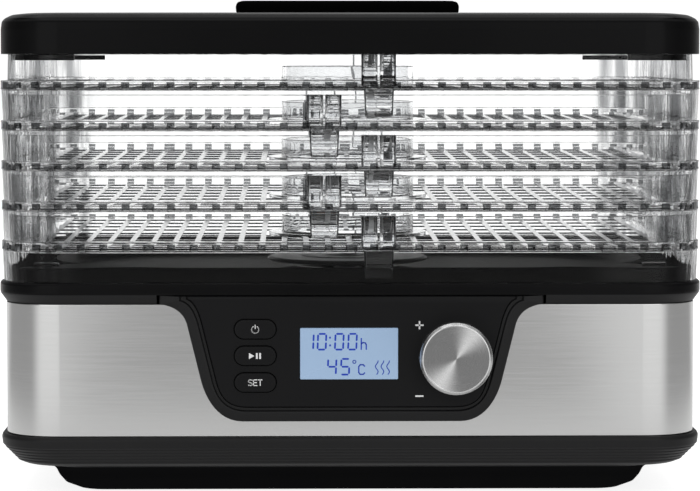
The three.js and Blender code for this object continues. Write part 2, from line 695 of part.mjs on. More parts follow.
// The knob stands out at the front, so the body sits back to keep the footprint centred.
group.position.y = -(KNOB.front + BODY.y - TRAY_INSET + TONGUE_OUT) / 2;
group.position.z = -TABLE;

function add(name, geometry, material, parent = group) {
  const mesh = new THREE.Mesh(geometry, material);
  mesh.name = name;
  parent.add(mesh);
  return mesh;
}

const CORNER_NAMES = ['rear_right', 'rear_left', 'front_left', 'front_right'];

add('bottom_cover', bottomCover(), BLACK_SATIN);
eachCorner(FOOT.x, FOOT.y, foot).forEach((geometry, i) => add(`foot_${CORNER_NAMES[i]}`, geometry, RUBBER));
eachCorner(SCREW.x, SCREW.y, baseScrew).forEach((geometry, i) =>
  add(`base_screw_${CORNER_NAMES[i]}`, geometry, ZINC));
add('steel_band', steelBand(), STEEL);
add('body_frame', bodyFrame(), BLACK_SATIN);
add('top_housing', topHousing(), BLACK_SATIN);
add('air_cap', airCap(), BLACK_SATIN);
add('cap_screw', capScrew(), BLACK_SATIN);
add('cord_inlet', cordInlet(), RUBBER);

add('fascia_frame', fasciaFrame(), BLACK_SATIN);
add('face_panel', facePanel(), BLACK_SATIN);
add('display_window', displayWindow(), LENS);
add('lcd_module', lcdModule(), GREY);
add('control_board', controlBoard(), CIRCUIT_GREEN);
['power', 'start_pause', 'set'].forEach((use, i) => {
  add(`button_${use}`, buttonKey(BUTTON.zs[i]), BLACK_GLOSS);
  add(`switch_${use}`, keySwitch(BUTTON.zs[i]), GREY);
});
add('knob_cap', knobCap(), ALUMINIUM);
add('knob_core', knobCore(), BLACK_SATIN);
add('encoder_shaft', encoderShaft(), ZINC);
add('encoder_body', encoderBody(), GREY);

add('air_duct', airDuct(), GREY);
add('motor_bracket', motorBracket(), ZINC);
add('fan_motor', fanMotor(), ZINC);
add('motor_shaft', motorShaft(), ZINC);
add('fan_impeller', fanImpeller(), WHITE_NYLON);
add('heater_frame', heaterFrame(), MICA);
add('heater_coil', heaterCoil(), COPPER);
add('thermal_fuse', thermalFuse(), ZINC);
add('temperature_sensor', temperatureSensor(), WHITE_NYLON);
add('power_board', powerBoard(), CIRCUIT_GREEN);
add('transformer', transformer(), COPPER);
add('relay', relay(), GREY);
add('capacitor', capacitor(), BLACK_SATIN);
add('terminal_block', terminalBlock(), WHITE_NYLON);
add('ribbon_cable', ribbonCable(), GREY);

// Each tray is turned half round on the one below, so the clips alternate from side to side.
const trayGeometry = tray();
for (let i = 0; i < TRAY_COUNT; i += 1) {
  const mesh = add(`tray_${i + 1}`, trayGeometry, CLEAR);
  mesh.position.z = FIRST_BAND + i * TRAY_PITCH;
  mesh.rotation.z = i % 2 === 0 ? 0 : Math.PI;
}

add('lid', lid(), BLACK_GLOSS);
add('lid_handle', lidHandle(), BLACK_GLOSS);
add('handle_screw_left', handleScrew(-1), ZINC);
add('handle_screw_right', handleScrew(1), ZINC);

export default group;
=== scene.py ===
# %% [markdown]
# # A food dehydrator with five clear trays
# The machine is a low steel-wrapped base that blows warm air up through a stack of clear
# trays under a black lid. The measured model comes in first and fixes every size, and each
# later cell replaces one plain solid by a finished piece in exactly the same place.

# %% Load the measured model
import math

import bmesh
import bpy
from mathutils import Matrix, Vector


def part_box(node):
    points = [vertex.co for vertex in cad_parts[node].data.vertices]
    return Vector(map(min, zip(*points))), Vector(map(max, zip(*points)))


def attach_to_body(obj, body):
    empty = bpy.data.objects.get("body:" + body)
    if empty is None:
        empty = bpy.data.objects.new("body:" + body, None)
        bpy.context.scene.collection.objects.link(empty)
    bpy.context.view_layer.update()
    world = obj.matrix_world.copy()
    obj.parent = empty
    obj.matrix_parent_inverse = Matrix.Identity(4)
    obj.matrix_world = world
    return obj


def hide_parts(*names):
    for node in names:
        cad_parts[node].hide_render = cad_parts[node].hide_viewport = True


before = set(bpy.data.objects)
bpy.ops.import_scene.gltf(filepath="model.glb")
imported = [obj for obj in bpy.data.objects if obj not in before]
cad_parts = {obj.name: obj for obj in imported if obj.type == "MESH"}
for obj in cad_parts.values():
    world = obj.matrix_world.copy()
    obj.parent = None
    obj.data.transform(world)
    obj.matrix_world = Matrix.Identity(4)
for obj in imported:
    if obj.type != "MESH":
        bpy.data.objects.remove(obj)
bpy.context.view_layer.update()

scene = bpy.context.scene

# %% [markdown]
# All sizes below are written in millimetres, as on a maker's drawing, about the middle of
# the body. The knob sticks out in front, so the model's origin is not quite there, and the
# feet stand 3 mm below the drawing's zero. The lid tells how far back the body sits, and one
# function carries a drawing point into the frame.

# %% Drawing millimetres to frame metres
MM = 0.001
TABLE = -3
lid_low, lid_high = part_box("lid")
BACK_SHIFT = (lid_low.y + lid_high.y) / 2


def placed(point):
    """A drawing point, in metres, where the model has it."""
    x, y, z = point
    return (x * MM, y * MM + BACK_SHIFT, (z - TABLE) * MM)


print("body sits back by", round(BACK_SHIFT / MM, 2), "mm")

# %% [markdown]
# ## Camera, floor and light
# A product like this is shown from the front with a long lens, a little above the trays, so
# that the stack looks straight and the top of the base just shows. The lens is long enough
# that the near and far walls of the trays come out almost the same size.

# %% Camera
camera_data = bpy.data.cameras.new("view_camera")
camera_data.lens = 157.9
camera_data.sensor_width = 36
camera_data.clip_end = 60
camera = bpy.data.objects.new("view_camera", camera_data)
camera.location = (-0.0255, -1.5791, 0.2096)
camera.rotation_euler = (math.radians(90 - 3.42), 0, math.radians(-0.97))
scene.collection.objects.link(camera)
scene.camera = camera
print("camera at", tuple(round(v, 3) for v in camera.location))

# %% [markdown]
# Nodes are written as expressions. A Wire is one output of a node, and its arithmetic adds
# Math nodes. A Board puts nodes into one tree: it takes the node's type, its settings, and
# the value or wire for each socket. The same two classes serve materials and geometry.


# %% Node helpers
class Wire:
    """One output socket, with arithmetic."""

    def __init__(self, board, node, socket):
        self.board, self.node, self.socket = board, node, socket

    def other(self, name):
        """Another output of the same node."""
        return Wire(self.board, self.node, self.board.pick(self.node.outputs, name))

    def math(self, operation, *values):
        return self.board.add("ShaderNodeMath", {"operation": operation}, dict(enumerate(values)))

    def __add__(self, value):
        return self.math("ADD", self, value)

    def __sub__(self, value):
        return self.math("SUBTRACT", self, value)

    def __mul__(self, value):
        return self.math("MULTIPLY", self, value)

    def __rsub__(self, value):
        return self.math("SUBTRACT", value, self)

    def __gt__(self, value):
        return self.math("GREATER_THAN", self, value)

    def __lt__(self, value):
        return self.math("LESS_THAN", self, value)

    __radd__ = __add__
    __rmul__ = __mul__


class Board:
    """Places nodes in one tree."""

    def __init__(self, tree):
        self.tree = tree

    @staticmethod
    def pick(sockets, key):
        if isinstance(key, int):
            return sockets[key]
        return next(s for s in sockets if key in (s.identifier, s.name))

    def add(self, kind, settings=None, sockets=None, out=0):
        node = self.tree.nodes.new(kind)
        for name, value in (settings or {}).items():
            setattr(node, name, value)
        for key, value in (sockets or {}).items():
            socket = self.pick(node.inputs, key)
            if isinstance(value, Wire):
                self.tree.links.new(value.socket, socket)
            else:
                socket.default_value = value
        return Wire(self, node, self.pick(node.outputs, out)) if len(node.outputs) else None


print("node helpers ready")

# %% [markdown]
# The room is a white sweep: white behind, so that clear plastic is seen against light, mid
# grey in front for the flat steel to reflect, and darker at the sides, which draws the dark
# edges in clear plastic. The world is that room, worked out from the direction alone.

# %% Studio surroundings
world = bpy.data.worlds.new("studio_room")
world.use_nodes = True
world.node_tree.nodes.clear()
room = Board(world.node_tree)
direction = room.add("ShaderNodeTexCoord", out="Generated")
axes = room.add("ShaderNodeSeparateXYZ", None, {0: direction})
across, along, height = axes, axes.other("Y"), axes.other("Z")
from_front = room.add(
    "ShaderNodeMath", {"operation": "ARCTAN2"},
    {0: room.add("ShaderNodeMath", {"operation": "ABSOLUTE"}, {0: across}), 1: along * -1},
)


def rise(value, start, end):
    """Smooth step from 0 to 1 as the value goes from start to end."""
    return value.board.add(
        "ShaderNodeMapRange", {"interpolation_type": "SMOOTHSTEP"},
        {"Value": value, "From Min": start, "From Max": end, "To Min": 0.0, "To Max": 1.0},
    )


FRONT_GREY, SIDE_GREY, BACK_WHITE, MIRRORED_BACK, OVERHEAD, SHOWN_WHITE = 0.42, 0.14, 1.5, 0.35, 0.75, 1.02
side_part = rise(from_front, 0.95, 1.35)
back_part = rise(from_front, 1.95, 2.45)
level_light = FRONT_GREY + side_part * (SIDE_GREY - FRONT_GREY) + back_part * (BACK_WHITE - SIDE_GREY)
overhead = rise(height, 0.45, 0.8)
room_light = level_light + overhead * (OVERHEAD - level_light)
ray = room.add("ShaderNodeLightPath", out="Is Camera Ray")
mirrored = ray.other("Is Glossy Ray") * (1 - ray.other("Is Transmission Ray"))
room_light = room_light - back_part * mirrored * (BACK_WHITE - MIRRORED_BACK)
room_light = room_light + ray * (SHOWN_WHITE - room_light)
background = room.add("ShaderNodeBackground", None, {"Color": (1, 1, 1, 1), "Strength": room_light})
room.add("ShaderNodeOutputWorld", None, {"Surface": background})
scene.world = world
scene.view_settings.view_transform = "Standard"
print("room", FRONT_GREY, SIDE_GREY, BACK_WHITE)

# %% [markdown]
# Two wide soft boxes stand in front, one to each side, and light the front evenly. A third
# hangs above and a little behind, and draws the pale line along the lid's bevel.


# %% Soft boxes
def soft_box(name, place, target, width, tall, power):
    """A rectangular area light that faces its target."""
    data = bpy.data.lights.new(name, "AREA")
    data.shape, data.size, data.size_y, data.energy = "RECTANGLE", width, tall, power
    box = bpy.data.objects.new(name, data)
    box.location = place
    box.rotation_euler = (Vector(target) - Vector(place)).to_track_quat("-Z", "Y").to_euler()
    box.visible_camera = False
    scene.collection.objects.link(box)
    return box


for side, name in ((-1, "soft_box_left"), (1, "soft_box_right")):
    soft_box(name, (side * 1.23, -2.6, 0.8), (0, 0, 0.1), 2.0, 1.5, 9)
soft_box("soft_box_top", (0, 0.9, 2.6), (0, 0.5, 0), 2.4, 3.0, 26)

# %% [markdown]
# The bounces are raised because a look through the stack crosses many clear walls.

# %% Bounces for clear walls
scene.cycles.max_bounces = 24
scene.cycles.transmission_bounces = 24
scene.cycles.transparent_max_bounces = 24
scene.cycles.glossy_bounces = 8
scene.cycles.diffuse_bounces = 3
scene.cycles.caustics_reflective = False
scene.cycles.caustics_refractive = False

# %% [markdown]
# ## Finishes
# Each finish is a small node tree on Object coordinates, so its pattern keeps its real size
# in metres wherever the piece is. Only values that change over the surface are wired in.


# %% Finish helpers
def new_finish(name):
    """An empty material and the board for its nodes."""
    made = bpy.data.materials.new(name)
    made.use_nodes = True
    made.node_tree.nodes.clear()
    return made, Board(made.node_tree)


def object_place(board, stretch=(1, 1, 1)):
    place = board.add("ShaderNodeTexCoord", out="Object")
    if stretch == (1, 1, 1):
        return place
    return board.add(
        "ShaderNodeMapping", {"vector_type": "POINT"}, {"Vector": place, "Scale": stretch},
    )


def noise(board, place, scale, detail=2.0, roughness=0.5):
    return board.add(
        "ShaderNodeTexNoise", {"normalize": True},
        {"Vector": place, "Scale": scale, "Detail": detail, "Roughness": roughness},
    )


def blend_colours(board, factor, first, second):
    return board.add(
        "ShaderNodeMix", {"data_type": "RGBA"},
        {"Factor_Float": factor, "A_Color": (*first, 1), "B_Color": (*second, 1)}, out="Result_Color",
    )


def bump(board, height, strength, depth_mm):
    return board.add(
        "ShaderNodeBump", None, {"Strength": strength, "Distance": depth_mm * MM, "Height": height},
        out="Normal",
    )


def output(board, shader):
    board.add("ShaderNodeOutputMaterial", None, {"Surface": shader})


def moulded(name, colour, lighter, roughness, specular=0.5, grain_mm=0.35, grain_depth=0.012, spread=0.08):
    """Injection-moulded plastic: slow changes of tone and gloss, and a fine even grain."""
    made, board = new_finish(name)
    place = object_place(board)
    cloud = noise(board, place, 22, 3)
    grain = noise(board, place, 1 / (grain_mm * MM), 1)
    tone = blend_colours(board, cloud * 0.7 + grain * 0.3, colour, lighter)
    skin = board.add("ShaderNodeBsdfPrincipled", None, {
        "Base Color": tone, "Roughness": roughness + (cloud - 0.5) * spread + (grain - 0.5) * spread,
        "Specular IOR Level": specular, "Normal": bump(board, grain, 0.5, grain_depth),
    })
    output(board, skin)
    return made


def worked_metal(name, colour, darker, roughness, stretch, scale=900, depth=0.01, spread=0.1):
    """Metal with marks drawn out along one direction by the stretch of its pattern."""
    made, board = new_finish(name)
    fine = noise(board, object_place(board, stretch), scale, 3, 0.65)
    cloud = noise(board, object_place(board), 14, 2)
    tone = blend_colours(board, fine * 0.75 + cloud * 0.25, darker, colour)
    skin = board.add("ShaderNodeBsdfPrincipled", None, {
        "Base Color": tone, "Metallic": 1.0, "Roughness": roughness + (fine - 0.5) * spread,
        "Normal": bump(board, fine, 0.35, depth),
    })
    output(board, skin)
    return made


print("finish helpers ready")

# %% [markdown]
# The lid and the control face are black plastic with a satin polish, and the lower tub and
# the basin a duller one. Both reflect less than glass would, so their faces stay near black
# and only edges and slopes catch light.

# %% Plastic finishes
GLOSS_BLACK = moulded("black_polished", (0.0035, 0.0035, 0.0037), (0.005, 0.005, 0.0053), 0.22, 0.07)
SATIN_BLACK = moulded("black_satin", (0.006, 0.006, 0.0063), (0.010, 0.010, 0.0105), 0.42, 0.22, spread=0.1)
FACE_BLACK = moulded("black_face", (0.0045, 0.0045, 0.005), (0.0065, 0.0065, 0.007), 0.34, 0.13)
INNER_BLACK = moulded("black_inner", (0.008, 0.008, 0.008), (0.013, 0.013, 0.013), 0.55, 0.3)
DEEP_BLACK = moulded("black_deep", (0.0035, 0.0035, 0.0037), (0.005, 0.005, 0.0053), 0.4, 0.0)
HANDLE_BLACK = moulded("black_handle", (0.0022, 0.0022, 0.0022), (0.003, 0.003, 0.003), 0.3, 0.0)
BASIN_BLACK = moulded("black_basin", (0.008, 0.008, 0.0083), (0.012, 0.012, 0.0125), 0.55, 0.04)
FOOT_RUBBER = moulded("foot_rubber", (0.010, 0.010, 0.010), (0.020, 0.020, 0.020), 0.8, 0.3, 0.6, 0.03)
DUCT_GREY = moulded("grey_plastic", (0.14, 0.145, 0.15), (0.17, 0.175, 0.18), 0.5)
WHITE_NYLON = moulded("white_nylon", (0.62, 0.61, 0.57), (0.70, 0.69, 0.65), 0.5)
MICA_SHEET = moulded("mica_sheet", (0.42, 0.36, 0.25), (0.52, 0.46, 0.33), 0.55, 0.5, 1.4, 0.02)
PRINT_WHITE = moulded("printed_white", (0.70, 0.70, 0.70), (0.78, 0.78, 0.78), 0.5, 0.3)
print("plastics", 12)

# %% [markdown]
# The wrap is stainless steel brushed along its length. The marks are hair lines many times
# longer than they are wide, so the pattern is squeezed upright. They run round the corners,
# where x and y both change, so both are stretched and only height keeps its fine scale.

# %% Metal finishes
BRUSHED_STEEL = worked_metal(
    "brushed_steel", (0.70, 0.70, 0.695), (0.60, 0.60, 0.595), 0.17, (0.012, 0.012, 1), 2600, 0.006, 0.1,
)
BRIGHT_ZINC = worked_metal("bright_zinc", (0.62, 0.63, 0.64), (0.45, 0.46, 0.47), 0.38, (1, 1, 1), 500)
COPPER_WIRE = worked_metal("copper_wire", (0.72, 0.38, 0.22), (0.5, 0.24, 0.12), 0.35, (1, 1, 1), 700)
print("metals", 3)

# %% [markdown]
# The knob's face is spun aluminium: fine rings cut by a tool while it turned. Its colour
# also carries a painted highlight: two bright fans and two dark ones, set by the angle round
# the middle, stand in for the light that the rings spread.

# %% Spun aluminium
KNOB = {"x": 49.5, "z": 66.0, "radius": 17.4, "front": -137.2, "back": -125.7}


def spun_aluminium_painted_fans():
    made, board = new_finish("spun_aluminium_painted_fans")
    centre = placed((KNOB["x"], 0, KNOB["z"]))
    place = board.add("ShaderNodeTexCoord", out="Object")
    moved = board.add("ShaderNodeVectorMath", {"operation": "SUBTRACT"}, {0: place, 1: centre})
    axes = board.add("ShaderNodeSeparateXYZ", None, {0: moved})
    dx, dz = axes, axes.other("Z")
    radius = (dx * dx + dz * dz).math("SQRT", dx * dx + dz * dz)
    angle = dx.math("ARCTAN2", dz, dx)
    tilt = math.radians(56)
    # Painted highlight: the colour runs from dark to bright in fans by angle round the middle; only the ring
    # marks are the metal's own.
    painted_fan_wave = dx.math("COSINE", (angle - tilt) * 2)
    sharp = dx.math("POWER", painted_fan_wave * 0.5 + 0.5, 5.0)
    ring_place = board.add("ShaderNodeCombineXYZ", None, {0: radius, 1: angle * 0.0004, 2: 0.0})
    rings = noise(board, ring_place, 5200, 2, 0.7)
    tone = blend_colours(board, sharp * 0.86 + (rings - 0.5) * 0.25, (0.27, 0.27, 0.27), (1.0, 1.0, 1.0))
    skin = board.add("ShaderNodeBsdfPrincipled", None, {
        "Base Color": tone, "Metallic": 1.0, "Roughness": 0.26 + (rings - 0.5) * 0.1,
        "Normal": bump(board, rings, 0.3, 0.004),
    })
    output(board, skin)
    return made


SPUN_FACE = spun_aluminium_painted_fans()
EDGE_METAL = worked_metal(
    "turned_edge", (0.80, 0.80, 0.80), (0.66, 0.66, 0.66), 0.2, (1, 0.05, 1), 900, 0.004,
)
print("knob finish at", KNOB["x"], KNOB["z"])

# %% [markdown]
# The trays are clear polycarbonate. It bends light as real plastic does, and a slow ripple
# in its surface stands for the flow marks of moulding. Light that goes to a lamp passes it
# straight, through a Mix with Transparent on shadow rays, so the inside stays lit. The walls'
# round corners carry upright flutes that draw light and dark streaks by refraction, and dark
# streaks along them are also painted into the colour there: painted shade.


# %% Clear plastic
STREAK_X, STREAK_Y = (0.138, 0.145), (0.085, 0.093)


def clear_plastic(name, tint, roughness, ripple, streaks=0.0, transmission=1.0):
    made, board = new_finish(name)
    place = object_place(board)
    waves = noise(board, object_place(board, (1, 1, 0.35)), 60, 2, 0.5)
    cloud = noise(board, place, 30, 2)
    height = waves
    tone = blend_colours(board, cloud, tint, tuple(min(1, t * 1.02) for t in tint))
    if streaks:
        axes = board.add("ShaderNodeSeparateXYZ", None, {0: place})
        out_x = rise(axes.math("ABSOLUTE", axes), *STREAK_X)
        out_y = rise(axes.math("ABSOLUTE", axes.other("Y") - BACK_SHIFT), *STREAK_Y)
        flutes_and_painted_streaks = noise(board, object_place(board, (1, 1, 0.06)), 150, 3, 0.6)
        height = waves + flutes_and_painted_streaks * (out_x * out_y * streaks)
        # Painted shade: the corners' colour turns dark grey along the flutes.
        painted_dark = rise(flutes_and_painted_streaks, 0.36, 0.60) * out_x * out_y
        tone = blend_colours(board, painted_dark * 0.85 + cloud * 0.1, tint, (0.24, 0.245, 0.25))
    skin = board.add("ShaderNodeBsdfPrincipled", None, {
        "Base Color": tone,
        "Roughness": roughness + cloud * 0.03, "IOR": 1.49, "Transmission Weight": transmission,
        "Specular Tint": (0.25, 0.25, 0.25, 1.0), "Normal": bump(board, height, 0.5, ripple),
    })
    straight = board.add("ShaderNodeBsdfTransparent", None, {"Color": (*tint, 1)})
    to_lamp = board.add("ShaderNodeLightPath", out="Is Shadow Ray")
    output(board, board.add("ShaderNodeMixShader", None, {0: to_lamp, 1: skin, 2: straight}))
    return made


CLEAR_WALL = clear_plastic("clear_wall", (0.985, 0.987, 0.987), 0.0, 0.03, streaks=30.0)
CLEAR_BAR = clear_plastic("clear_bar", (0.98, 0.982, 0.982), 0.1, 0.05, transmission=0.3)
# Painted shade: the slats are clear plastic tinted near black, for the grey that thin clear slats show
# against the light.
CLEAR_SLAT = clear_plastic("clear_slat_painted_shade", (0.06, 0.062, 0.065), 0.05, 0.1)
# Painted shade: the bar ends are clear plastic tinted dark, for the dark blocks that the band shows through
# the wall.
BAR_END = clear_plastic("clear_bar_end_painted_shade", (0.20, 0.205, 0.21), 0.05, 0.1)
CLIP_CLEAR = clear_plastic("clear_clip", (0.84, 0.845, 0.85), 0.0, 0.6)
# Painted shade: the clips' sides are clear plastic tinted near black, for the dark edges that inner
# reflection draws.
CLIP_EDGE = clear_plastic("clear_clip_painted_dark_edge", (0.06, 0.062, 0.065), 0.05, 0.1)
print("clear finishes", 6)

# %% [markdown]
# The display is a pale blue backlit panel with dark blue segments. The panel glows a little,
# evenly but for a faint fall-off that a cloud pattern gives.


# %% Display finishes
def backlit(name, colour, darker, glow):
    made, board = new_finish(name)
    cloud = noise(board, object_place(board), 60, 2)
    tone = blend_colours(board, cloud, darker, colour)
    skin = board.add("ShaderNodeBsdfPrincipled", None, {
        "Base Color": tone, "Roughness": 0.32 + cloud * 0.05, "Specular IOR Level": 0.2,
        "Emission Color": tone, "Emission Strength": glow,
    })
    output(board, skin)
    return made


PANEL_BLUE = backlit("display_blue", (0.27, 0.371, 0.517), (0.25, 0.35, 0.49), 0.3)
SEGMENT_BLUE = backlit("segment_blue", (0.010, 0.035, 0.30), (0.008, 0.030, 0.26), 0.5)
BOARD_GREEN = moulded("circuit_green", (0.012, 0.09, 0.035), (0.02, 0.14, 0.05), 0.4, 0.5, 1.2, 0.02)
print("display finishes", 2)

# %% [markdown]
# ## Shapes
# Nearly every moulding here is a rounded rectangle that changes size with height, so one
# idea makes most of them: list the cross sections as steps of a profile, round the profile's
# corners, and skin the sections. The body's outline is the reference, and a section is given
# by how far it lies inside that outline.

# %% Outlines and rounded profiles
HALF_X, HALF_Y, CORNER = 170, 125, 30
CORNER_STEPS = 12
GUARD = 0.6


def rounded_rectangle(half_x, half_y, radius, steps=CORNER_STEPS):
    """Counter-clockwise points of a rounded rectangle. A guard point beside each end of an
    arc keeps the shading of the straight sides flat."""
    points = []
    straight = (half_y - radius, half_x - radius)
    for quarter, (sign_x, sign_y) in enumerate(((1, 1), (-1, 1), (-1, -1), (1, -1))):
        arc_points = []
        for step in range(steps + 1):
            angle = (quarter + step / steps) * math.pi / 2
            arc_points.append(Vector((
                sign_x * (half_x - radius) + radius * math.cos(angle),
                sign_y * (half_y - radius) + radius * math.sin(angle),
            )))
        for end, back, side in ((0, -1, straight[quarter % 2]), (-1, 1, straight[(quarter + 1) % 2])):
            angle = (quarter + (0 if end == 0 else 1)) * math.pi / 2
            along_side = Vector((-math.sin(angle), math.cos(angle))) * back
            guard = arc_points[end] + along_side * min(GUARD, 0.5 * side)
            arc_points.insert(0 if end == 0 else len(arc_points), guard)
        points.extend(tuple(p) for p in arc_points)
    return points


def softened(profile, closed=False, pieces=3):
    """Rounds a profile's corners. A point is (values..., rounding); every value is carried."""
    result = []
    profile = [p for i, p in enumerate(profile) if i == 0 or p[:-1] != profile[i - 1][:-1]]
    count = len(profile)
    for i, point in enumerate(profile):
        here, size = Vector(point[:-1]), point[-1]
        if size <= 0 or (not closed and i in (0, count - 1)):
            result.append(tuple(here))
            continue
        before = Vector(profile[i - 1][:-1]) - here
        after = Vector(profile[(i + 1) % count][:-1]) - here
        reach = min(size, 0.4 * before.length, 0.4 * after.length)
        start, end = here + before * (reach / before.length), here + after * (reach / after.length)
        result.append(tuple(start + before * min(0.07, 0.3 / before.length)))
        for step in range(pieces + 1):
            t = step / pieces
            result.append(tuple(start * (1 - t) ** 2 + here * 2 * t * (1 - t) + end * t ** 2))
        result.append(tuple(end + after * min(0.07, 0.3 / after.length)))
    return result


print("outline points", len(rounded_rectangle(HALF_X, HALF_Y, CORNER)))

# %% [markdown]
# A Moulding gathers closed skins and boxes in drawing millimetres, each with the number of
# its finish, and becomes one object. Its faces are shaded smooth except across sharp edges.


# %% Moulding
class Moulding:
    def __init__(self):
        self.points, self.faces, self.finishes = [], [], []

    def skin(self, sections, ring=False, finish=0):
        """Joins sections with equal counts of points. A ring joins the last to the first;
        otherwise both ends are closed by a flat face."""
        start, count = len(self.points), len(sections[0])
        for section in sections:
            self.points.extend(section)
        faces = []
        for band in range(len(sections) if ring else len(sections) - 1):
            low, high = start + band * count, start + (band + 1) % len(sections) * count
            for i in range(count):
                j = (i + 1) % count
                faces.append((low + i, low + j, high + j, high + i))
        if not ring:
            last = start + (len(sections) - 1) * count
            faces.append(tuple(range(start + count - 1, start - 1, -1)))
            faces.append(tuple(range(last, last + count)))
        self.faces.extend(faces)
        self.finishes.extend([finish] * len(faces))
        return self

    def box(self, low, high, finish=0, edge=0.0):
        """A block, with its upright edges rounded where edge is given."""
        half = [(b - a) / 2 for a, b in zip(low, high)]
        middle = [(b + a) / 2 for a, b in zip(low, high)]
        if edge:
            outline = rounded_rectangle(half[0], half[1], edge, 3)
        else:
            outline = [(half[0], half[1]), (-half[0], half[1]), (-half[0], -half[1]), (half[0], -half[1])]
        return self.skin([[(middle[0] + x, middle[1] + y, z) for x, y in outline]
                          for z in (low[2], high[2])], finish=finish)

    def made(self, name, *finishes, sharp=32, place=placed):
        mesh = bpy.data.meshes.new(name)
        mesh.from_pydata([place(p) for p in self.points], [], self.faces)
        tidy_mesh(mesh)
        for finish in finishes:
            mesh.materials.append(finish)
        if len(mesh.polygons) == len(self.finishes):
            mesh.polygons.foreach_set("material_index", self.finishes)
        smooth(mesh, sharp)
        made = bpy.data.objects.new(name, mesh)
        scene.collection.objects.link(made)
        return made


def tidy_mesh(mesh):
    """Points every closed skin outwards."""
    work = bmesh.new()
    work.from_mesh(mesh)
    bmesh.ops.remove_doubles(work, verts=work.verts, dist=1e-7)
    bmesh.ops.recalc_face_normals(work, faces=work.faces)
    if work.calc_volume(signed=True) < 0:
        bmesh.ops.reverse_faces(work, faces=work.faces)
    work.to_mesh(mesh)
    work.free()


def smooth(mesh, sharp):
    mesh.polygons.foreach_set("use_smooth", [True] * len(mesh.polygons))
    mesh.set_sharp_from_angle(angle=math.radians(sharp))
    mesh.update()


print("moulding ready")

# %% [markdown]
# Three ways to lay out sections: stacked rounded rectangles, a turned profile about an
# upright or a level axis, and a flat outline pushed along the depth of the machine.


# %% Section layouts
def stack(profile, closed=False, pieces=3):
    """Sections from (inset, height, rounding) or (inset, height, corner radius, rounding)."""
    full = [(p[0], p[1], max(CORNER - p[0], 4), p[2]) if len(p) == 3 else p for p in profile]
    return [
        [(x, y, height) for x, y in rounded_rectangle(HALF_X - inset, HALF_Y - inset, radius)]
        for inset, height, radius in softened(full, closed, pieces)
    ]


def free_stack(profile, closed=False, pieces=3):
    """Sections from (half x, half y, corner radius, height, rounding)."""
    return [
        [(x, y, height) for x, y in rounded_rectangle(half_x, half_y, radius)]
        for half_x, half_y, radius, height in softened(profile, closed, pieces)
    ]


def turned(profile, middle, axis="z", sides=64, pieces=3):
    """Sections of a turned piece from (radius, distance along the axis, rounding)."""
    sections = []
    for radius, along in softened(profile, False, pieces):
        ring = []
        for i in range(sides):
            angle = 2 * math.pi * i / sides
            u, v = max(radius, 0.01) * math.cos(angle), max(radius, 0.01) * math.sin(angle)
            if axis == "z":
                ring.append((middle[0] + u, middle[1] + v, middle[2] + along))
            else:
                ring.append((middle[0] + u, middle[1] + along, middle[2] + v))
        sections.append(ring)
    return sections


def along_depth(outline_at, profile, closed=False, pieces=3):
    """Sections from (inset, y, rounding) and a function that gives the outline at an inset."""
    return [
        [(x, y, z) for x, z in outline_at(inset)] for inset, y in softened(profile, closed, pieces)
    ]


# %% [markdown]
# Openings are cut with a Boolean, which needs both meshes closed. The result is taken from
# the evaluated object as a plain mesh, so no modifier is left when the piece is attached.


# %% Cutting and attaching
def plain_mesh(piece, sharp=32):
    """Replaces a piece's mesh by its evaluated form and drops the modifiers."""
    graph = bpy.context.evaluated_depsgraph_get()
    mesh = bpy.data.meshes.new_from_object(piece.evaluated_get(graph))
    piece.modifiers.clear()
    old = piece.data
    piece.data = mesh
    bpy.data.meshes.remove(old)
    smooth(piece.data, sharp)
    return piece


def carve(piece, cutter):
    """Takes the cutter's volume out of the piece."""
    cut = piece.modifiers.new("cut", "BOOLEAN")
    cut.operation, cut.object, cut.solver = "DIFFERENCE", cutter, "MANIFOLD"
    plain_mesh(piece)
    bpy.data.objects.remove(cutter)
    return piece


def paint(piece, rule):
    """Gives every face the finish whose number the rule returns for it."""
    for polygon in piece.data.polygons:
        polygon.material_index = rule(polygon)


def attach(piece, body, slot, *nodes):
    """Rides a finished piece on its body, in place of the plain solids it stands for."""
    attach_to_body(piece, body)
    if nodes:
        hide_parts(*nodes)
    print(piece.name, "faces", len(piece.data.polygons), "on", body)
    return piece


# %% [markdown]
# ## The base
# The lower tub is satin black. A rounded bead runs under the steel, five fine ribs follow on
# the slope below it, and the sides then draw in steeply to a small plinth, so the machine
# seems to float on its four feet.

# %% Lower tub
SKIRT_TOP, STEEL_TOP, LIP_TOP, RIM_TOP, WALL = 27.3, 90.9, 101.2, 108.0, 2.4
rib_zone_top, rib_zone_low, ribs = (2.4, 21.2), (9.0, 13.2), 5
rib_profile = []
for i in range(ribs):
    for part, proud in ((0.0, 0.0), (0.28, -0.45), (0.72, -0.45)):
        t = (i + part) / ribs
        rib_profile.append((
            rib_zone_top[0] + (rib_zone_low[0] - rib_zone_top[0]) * t + proud,
            rib_zone_top[1] + (rib_zone_low[1] - rib_zone_top[1]) * t - proud * 0.3, 24, 0.15,
        ))
tub_profile = [
    (36.5, -2.4, 14, 0), (30, 0.6, 17, 0.6), (27, 4.2, 19, 1.0), (25.2, 8.2, 19.5, 1.5),
    (21, 10.8, 20, 1.5), (11.5, 12.3, 22, 1.0), *reversed(rib_profile), (0.9, 22.0, 28, 0.6),
    (0.4, 25.8, 29, 0.8), (1.0, SKIRT_TOP, 29, 0.6), (6.7, SKIRT_TOP, 23.3, 0.3),
    (6.7, 33.4, 23.3, 0.3), (8.6, 33.4, 21.4, 0.3), (9, 22.6, 21, 1), (12.4, 16.2, 20, 1),
    (27.6, 13.6, 18, 1), (29.6, 3.4, 17, 0.5), (33, 1.8, 15, 0),
]
tub = Moulding().skin(stack(tub_profile)).made("lower_tub", SATIN_BLACK, DEEP_BLACK)
